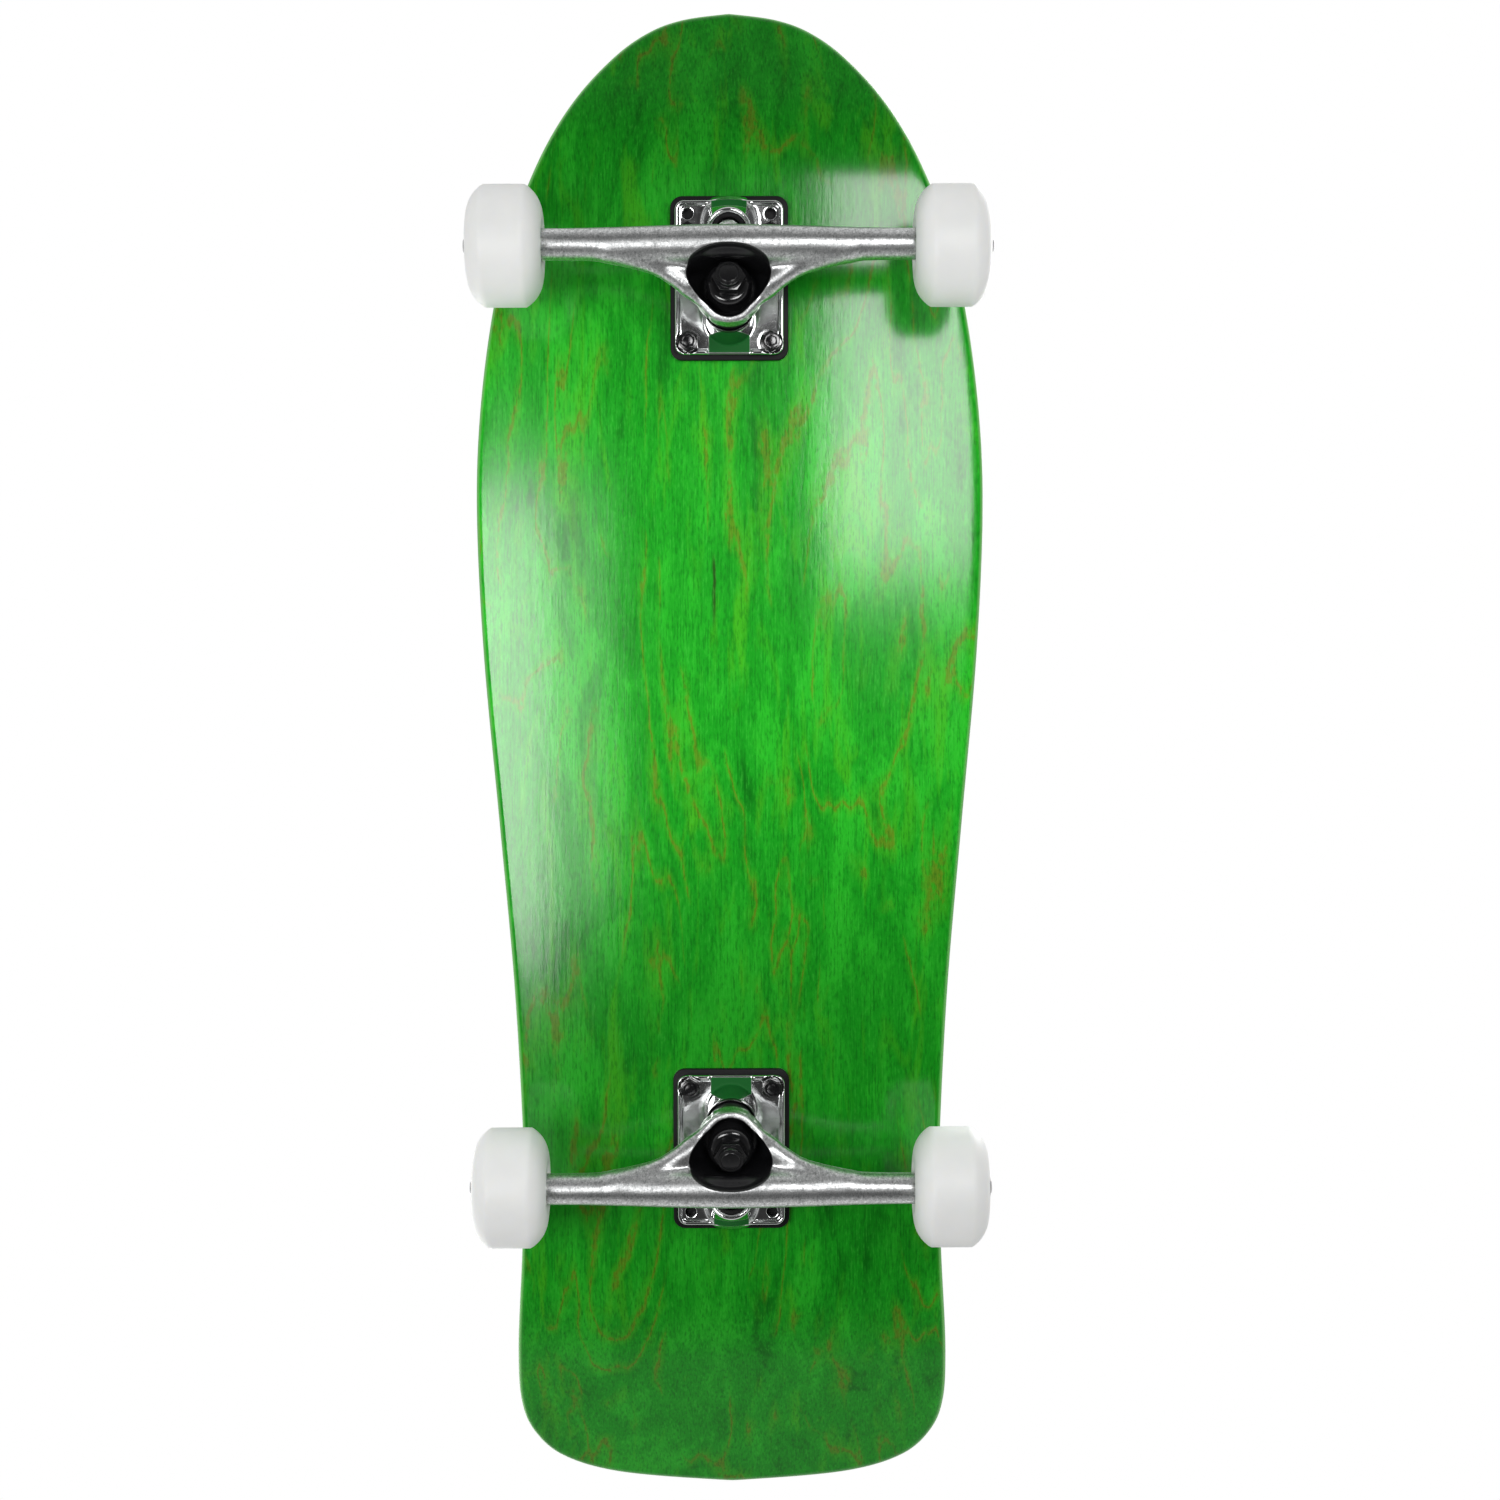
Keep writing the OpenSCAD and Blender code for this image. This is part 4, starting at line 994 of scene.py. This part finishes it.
def cup_outline(tree, plan, opened, tip_wall, side_wall):
    """Distance outside the cup's outline round the kingpin, grown by the given walls."""

    def between(pair, k):
        return calc(tree, "MULTIPLY_ADD", opened, pair[1][k] - pair[0][k], pair[0][k])

    tip = joined(tree, between(CUP_TIP, 0), between(CUP_TIP, 1), 0.0)
    side = joined(tree, between(CUP_SIDE, 0), between(CUP_SIDE, 1), 0.0)
    tip_r = calc(tree, "ADD", between(CUP_TIP, 2), tip_wall)
    side_r = calc(tree, "ADD", between(CUP_SIDE, 2), side_wall)
    run = vector(tree, "SUBTRACT", side, tip)
    away = vector(tree, "SUBTRACT", plan, tip)
    share = calc(tree, "DIVIDE", vector(tree, "DOT_PRODUCT", away, run),
                 vector(tree, "DOT_PRODUCT", run, run), clamp=True)
    flank = vector(tree, "LENGTH", vector(tree, "SUBTRACT", away, vector(tree, "SCALE", run, share)))
    radius = calc(tree, "MULTIPLY_ADD", share, calc(tree, "SUBTRACT", side_r, tip_r), tip_r)
    p, q = split(tree, plan)[:2]
    across = calc(tree, "MAXIMUM", calc(tree, "SUBTRACT", q, between(CUP_SIDE, 1)), 0.0)
    behind = calc(tree, "SUBTRACT", p, between(CUP_SIDE, 0))
    back = vector(tree, "LENGTH", joined(tree, behind, across, 0.0))
    return calc(tree, "MINIMUM", calc(tree, "SUBTRACT", flank, radius), calc(tree, "SUBTRACT", back, side_r))


def hanger_tree(material):
    tree, size = shape_tree("hanger casting", HANGER_SIZES)
    point = local_millimetres(tree)
    x, y, z = split(tree, point)
    # axle bar, thicker in the middle
    taper = add(tree, "ShaderNodeMapRange", {
        "Value": y, "From Min": 0.0, "From Max": 85.0,
        "To Min": size["Middle radius"], "To Max": size["End radius"]}, interpolation_type="SMOOTHSTEP")
    off_axle = vector(tree, "LENGTH", joined(
        tree, calc(tree, "ADD", x, size["Bar offset"]), 0.0, calc(tree, "SUBTRACT", z, AXLE_Z)))
    bar = common(tree, calc(tree, "SUBTRACT", off_axle, taper.outputs[0]),
                 calc(tree, "SUBTRACT", y, size["Half length"]), 0.8)
    # arms that flare from the bar into the cup
    arm = limb(tree, point, ARM_FROM, ARM_BEND, 5.6, 4.4)
    arm = union(tree, arm, limb(tree, point, ARM_BEND, ARM_TO, 4.4, 5.4), 2.0)
    body = union(tree, bar, arm, 7.0)
    # cup wall and ring round the kingpin
    down, off_pin = axis_parts(tree, point, KINGPIN_FOOT, KINGPIN_DOWN)
    across = vector(tree, "DOT_PRODUCT", vector(tree, "SUBTRACT", point, KINGPIN_FOOT), KINGPIN_SIDE)
    plan = joined(tree, across, y, 0.0)
    opened = step_up(tree, down, *CUP_OPENS)
    wall = cup_outline(tree, plan, opened, size["Cup wall at tip"], size["Cup wall at sides"])
    rim_height = calc(tree, "MULTIPLY_ADD", across, RIM_SLOPE, RIM_AT_AXIS)
    lump = common(tree, wall, calc(tree, "SUBTRACT", down, rim_height), 2.0)
    lump = common(tree, lump, calc(tree, "SUBTRACT", RING_FROM, down), 2.0)
    body = union(tree, body, lump, size["Blend"])
    # neck and pivot ball
    body = union(tree, body, limb(tree, point, NECK_TOP, NECK_FOOT, 6.4, 9.0), 5.0)
    body = union(tree, body, limb(tree, point, NECK_FOOT, (0.0, 0.0, 33.0), 8.0, 8.0), 5.0)
    stem = limb(tree, point, PIVOT_BALL, PIVOT_BALL + PIVOT_OUT * STEM_LENGTH, STEM_R, STEM_R)
    off_ball = vector(tree, "LENGTH", vector(tree, "SUBTRACT", point, PIVOT_BALL))
    body = union(tree, body, union(tree, stem, calc(tree, "SUBTRACT", off_ball, BALL_R), 1.0), 2.5)
    # cup pocket, with a round well for the nut and washer
    pocket = cup_outline(tree, plan, opened, 0.0, 0.0)
    bowed = joined(tree, calc(tree, "SUBTRACT", across, CUP_BACK_R - CUP_BACK_AT), y, 0.0)
    pocket = common(tree, pocket, calc(tree, "SUBTRACT", vector(tree, "LENGTH", bowed), CUP_BACK_R), 2.4)
    well = common(tree, calc(tree, "SUBTRACT", off_pin, WELL_R), calc(tree, "SUBTRACT", down, WELL_TO), 0.8)
    pocket = common(tree, union(tree, pocket, well, 1.0), calc(tree, "SUBTRACT", RING_TO, down), 2.4)
    body = cut(tree, body, pocket, size["Rim rounding"])
    sleeve = limb(tree, point, (0, 0, AXLE_Z), (0, SLEEVE_HALF, AXLE_Z), SLEEVE_R, SLEEVE_R)
    body = union(tree, body, sleeve, 1.2)
    # kingpin hole, seat of the upper bushing and bore of the axle
    hole = common(tree, calc(tree, "SUBTRACT", off_pin, RING_HOLE_R),
                  calc(tree, "SUBTRACT", down, RING_HOLE_TO), 0.4)
    body = cut(tree, body, hole, 0.6)
    seat = calc(tree, "MAXIMUM", calc(tree, "SUBTRACT", off_pin, BUSHING_SEAT_R),
                slab(tree, down, BUSHING_SEAT_FROM, RING_FROM))
    body = cut(tree, body, seat, 0.6)
    bore = limb(tree, point, (0, -20, AXLE_Z), (0, 120.0, AXLE_Z), AXLE_R, AXLE_R)
    body = cut(tree, body, bore, 0.3)
    solid_from(tree, body, HANGER_LIMITS, HANGER_VOXEL, material, pocket=pocket)
    return tree


CAST_DARK = (0.16, 0.165, 0.165, 1)
CAST_BRIGHT = (0.92, 0.92, 0.92, 1)
# painted shade for the inside of the hanger's cup
CUP_PAINTED_SHADE = (0.006, 0.006, 0.007, 1)


def tumbled_casting():
    """Aluminium out of the tumbler: satin bright, finely speckled, with a few longer scratches, and with
    painted shade, near black, inside the cup, up to the foot of its bright rim."""
    material, tree, shader = finish_material("tumbled casting")
    place = add(tree, "ShaderNodeAttribute", attribute_name="place").outputs["Vector"]
    marks = effect(tree, SPECKLE, Place=place, Pit_size=1.7, Cloud_size=12.0)
    fine = effect(tree, SPECKLE, Place=place, Pit_size=0.8, Cloud_size=3.0)
    lines = effect(tree, SCRATCHES, Place=place, Spacing=0.5, Length=16.0)["Lines"]
    dust = calc(tree, "MULTIPLY_ADD", fine["Pits"], 0.5, calc(tree, "MULTIPLY", marks["Pits"], 0.5))
    base = tint(tree, marks["Clouds"], (0.44, 0.45, 0.45, 1), (0.62, 0.63, 0.63, 1))
    base = tint(tree, calc(tree, "MULTIPLY", step_up(tree, dust, 0.52, 0.62), 0.6), base, CAST_DARK)
    base = tint(tree, calc(tree, "MULTIPLY", step_up(tree, dust, 0.48, 0.40), 0.6), base, CAST_BRIGHT)
    base = tint(tree, calc(tree, "MULTIPLY", lines, 0.4), base, (0.95, 0.95, 0.95, 1))
    # painted shade: inside the cup the casting turns near black and not metal, where it lies in shadow
    outside_pocket = add(tree, "ShaderNodeAttribute", attribute_name="pocket").outputs["Fac"]
    painted = step_up(tree, outside_pocket, 0.75, 0.45)
    tree.links.new(tint(tree, painted, base, CUP_PAINTED_SHADE), shader.inputs["Base Color"])
    tree.links.new(calc(tree, "SUBTRACT", 1.0, painted), shader.inputs["Metallic"])
    rough = calc(tree, "MULTIPLY_ADD", dust, 0.36, 0.12)
    tree.links.new(calc(tree, "MULTIPLY_ADD", marks["Clouds"], 0.08, rough), shader.inputs["Roughness"])
    low = bump(tree, marks["Clouds"], 0.0006, 0.18)
    tree.links.new(bump(tree, dust, 0.00012, 0.8, low), shader.inputs["Normal"])
    return material


satin = tumbled_casting()
hanger_shape = hanger_tree(satin)
for end in ENDS:
    hanger = cast_piece(end + "_hanger_visual", hanger_shape, HANGER_SIZES, end)
    stand_in(hanger, end + "_hanger", end + "_hanger")

# ---- Axles, washers, spacers and axle nuts ----
# A zinc-plated steel rod is cast into each hanger. Speed washers part the bearings from the hanger and
# from the nuts, a spacer keeps each pair of bearings apart, and black lock nuts hold the wheels on.


zinc_plate = speckled(
    "zinc plate", 0.3, 4.0, (0.42, 0.42, 0.43, 1), (0.60, 0.60, 0.61, 1),
    ("Pits", 0.2, 0.18), (0.00002, 0.4), Metallic=1.0)
WHEELS = [f"{end}_{side}" for end in ENDS for side in ("left", "right")]
for end in ENDS:
    body = end + "_hanger"
    refined(end + "_axle", end + "_axle_visual", body, zinc_plate, bevel=0.2)
    refined(end + "_speed_washers", end + "_speed_washers_visual", body, zinc_plate, bevel=0.12)
    refined(end + "_axle_nuts", end + "_axle_nuts_visual", body, dull_black, bevel=0.35)
for corner in WHEELS:
    body = corner.split("_")[0] + "_hanger"
    refined(corner + "_spacer", corner + "_spacer_visual", body, zinc_plate, bevel=0.2)

# ---- Wheels ----
# Cast polyurethane, white and slightly translucent, turned to a flat tread with rounded conical sides.
# Each face has a round seat into which a bearing is pressed, against a land in the middle.

WHEEL_HALF = 18.0
TREAD_HALF = 10.0
WHEEL_R = 29.0
FACE_R = 14.5
SIDE_BULGE = 2.2
SIDE_STEPS = 14
TREAD_CROWN = 0.05
TREAD_STEPS = 5
BEARING_R = 11.0
LAND_R = 8.5
LAND_HALF = 5.0


def wheel_profile():
    """Section of one wheel as (radius, place along the axle), from the middle of the tread and round."""
    side = []
    for k in range(SIDE_STEPS + 1):
        t = k / SIDE_STEPS
        out = SIDE_BULGE * 4 * t * (1 - t)
        side.append((WHEEL_R + (FACE_R - WHEEL_R) * t + out * 0.47,
                     TREAD_HALF + (WHEEL_HALF - TREAD_HALF) * t + out * 0.88))
    tread = [(WHEEL_R + TREAD_CROWN * math.cos(math.pi / 2 * k / TREAD_STEPS), TREAD_HALF * k / TREAD_STEPS)
             for k in range(TREAD_STEPS)]
    tread.append((WHEEL_R, TREAD_HALF - 0.25))
    mouth = [(14.0, WHEEL_HALF), (13.0, WHEEL_HALF), (12.5, WHEEL_HALF - 0.15), (12.1, WHEEL_HALF - 0.6),
             (11.15, WHEEL_HALF - 0.9), (BEARING_R, WHEEL_HALF - 1.1), (BEARING_R, LAND_HALF),
             (LAND_R, LAND_HALF)]
    half = tread + side[1:] + mouth
    other = [(r, -h) for r, h in half[::-1]]
    return half + other[:-1]


white_urethane = speckled(
    "white urethane", 0.5, 14.0, (0.83, 0.84, 0.825, 1), (0.89, 0.895, 0.885, 1),
    ("Clouds", 0.2, 0.34), (0.00004, 0.35), Subsurface_Weight=0.25, Subsurface_Scale=0.004,
    Specular_IOR_Level=0.45, Subsurface_Radius=(1.0, 0.9, 0.7))
for corner in WHEELS:
    low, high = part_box(corner + "_wheel")
    place = Matrix.Translation((low + high) / 2) @ Matrix.Rotation(math.radians(-90), 4, "X")
    wheel = turned_piece(corner + "_wheel_visual", wheel_profile(), 160, place, white_urethane, 35)
    stand_in(wheel, corner + "_wheel", corner + "_wheel")

# ---- Bearings ----
# Two 8 x 22 x 7 mm ball bearings per wheel: ground steel rings, seven balls in a cage, and a thin black
# shield snapped into each side of the outer ring.

ground_steel = speckled(
    "ground steel", 0.2, 3.0, (0.52, 0.52, 0.53, 1), (0.66, 0.66, 0.67, 1),
    ("Pits", 0.14, 0.10), (0.00001, 0.4), Metallic=1.0)
shield_black = speckled(
    "bearing shield", 0.3, 3.0, (0.010, 0.010, 0.011, 1), (0.020, 0.020, 0.021, 1),
    ("Clouds", 0.15, 0.32), (0.00002, 0.4), Specular_IOR_Level=0.5)
for corner in WHEELS:
    wheel_body, hanger_body = corner + "_wheel", corner.split("_")[0] + "_hanger"
    for part, body, slot, material, bevel in (
        ("_bearing_outers", wheel_body, "bearing_steel", ground_steel, 0.25),
        ("_bearing_inners", hanger_body, "bearing_steel", ground_steel, 0.2),
        ("_bearing_balls", corner + "_balls", "bearing_steel", ground_steel, 0),
        ("_bearing_shields", wheel_body, "bearing_shield", shield_black, 0.08),
    ):
        refined(corner + part, corner + part + "_visual", body, material, bevel)

# ---- Studio ----
# A pale floor that only shows from above, large soft lights above and below, and a bright background.
# The camera stands a little over a metre under the board and looks straight up at it.


def pale_floor():
    material, tree, shader = finish_material("pale floor", Roughness=0.9)
    marks = effect(tree, SPECKLE, Place=object_place(tree), Pit_size=3.0, Cloud_size=400.0)
    tree.links.new(tint(tree, marks["Clouds"], (0.80, 0.80, 0.80, 1), (0.86, 0.86, 0.86, 1)),
                   shader.inputs["Base Color"])
    clear = add(tree, "ShaderNodeBsdfTransparent").outputs[0]
    from_below = add(tree, "ShaderNodeNewGeometry").outputs["Backfacing"]
    seen = add(tree, "ShaderNodeMixShader", [from_below, shader.outputs[0], clear]).outputs[0]
    tree.links.new(seen, tree.nodes["Material Output"].inputs[0])
    return material


FLOOR_HALF = 2.5
floor_mesh = bpy.data.meshes.new("floor")
floor_mesh.from_pydata([(-FLOOR_HALF, -FLOOR_HALF, 0), (FLOOR_HALF, -FLOOR_HALF, 0),
                        (FLOOR_HALF, FLOOR_HALF, 0), (-FLOOR_HALF, FLOOR_HALF, 0)], [], [(0, 1, 2, 3)])
floor = link("floor", floor_mesh)
floor_mesh.materials.append(pale_floor())
floor.visible_shadow = floor.visible_glossy = floor.visible_diffuse = floor.visible_transmission = False


def softbox(name, middle, size_x, size_y, radiance, aim):
    """Rectangular area light of even radiance, turned to face its aim."""
    light = bpy.data.lights.new(name, "AREA")
    light.shape, light.size, light.size_y = "RECTANGLE", size_x, size_y
    light.energy = radiance * math.pi * size_x * size_y
    lamp = link(name, light)
    lamp.location = middle
    lamp.rotation_euler = (Vector(aim) - Vector(middle)).to_track_quat("-Z", "Y").to_euler()
    lamp.visible_camera = False


softbox("left box", (-0.04, -0.74, -1.5), 0.58, 0.62, 10.2, (-0.04, -0.74, 0))
softbox("left fringe", (-0.01, -0.34, -1.5), 0.50, 0.18, 3.0, (-0.01, -0.34, 0))
softbox("right box", (0.433, 0.45, -1.5), 0.585, 0.56, 9.6, (0.433, 0.45, 0))
softbox("top key", (0.7, 0.9, 1.7), 1.2, 1.2, 4.0, (0, 0, 0.1))
softbox("top fill", (-0.9, -0.8, 1.5), 1.4, 1.4, 1.6, (0, 0, 0.1))


def studio_world():
    world = bpy.data.worlds.new("studio")
    world.use_nodes = True
    tree = world.node_tree
    tree.nodes.clear()
    x, y, z = split(tree, add(tree, "ShaderNodeTexCoord").outputs["Generated"])
    strength = calc(tree, "MULTIPLY_ADD", step_up(tree, z, -0.95, 0.2), 0.83, 0.04)
    lit = add(tree, "ShaderNodeBackground", {"Color": (1, 1, 1, 1), "Strength": strength}).outputs[0]
    backdrop = add(tree, "ShaderNodeBackground", {"Color": (1, 1, 1, 1), "Strength": 1.0}).outputs[0]
    seen = add(tree, "ShaderNodeLightPath").outputs["Is Camera Ray"]
    mixed = add(tree, "ShaderNodeMixShader", [seen, lit, backdrop]).outputs[0]
    tree.links.new(mixed, tree.nodes.new("ShaderNodeOutputWorld").inputs[0])
    return world


bpy.context.scene.world = studio_world()
bpy.context.scene.view_settings.view_transform = "Standard"

CAMERA_PLACE = (0.0643, 0.0067, -1.1401)
CAMERA_TILT = (-2.622, -0.156, -0.121)
camera_data = bpy.data.cameras.new("camera")
camera_data.lens = 58.11
camera_data.sensor_width = 36.0
camera = link("camera", camera_data)
look_up = Matrix.Rotation(math.pi, 4, Vector((1, 1, 0)))
tilt = Euler([math.radians(angle) for angle in CAMERA_TILT]).to_matrix().to_4x4()
camera.matrix_world = Matrix.Translation(CAMERA_PLACE) @ look_up @ tilt
bpy.context.scene.camera = camera
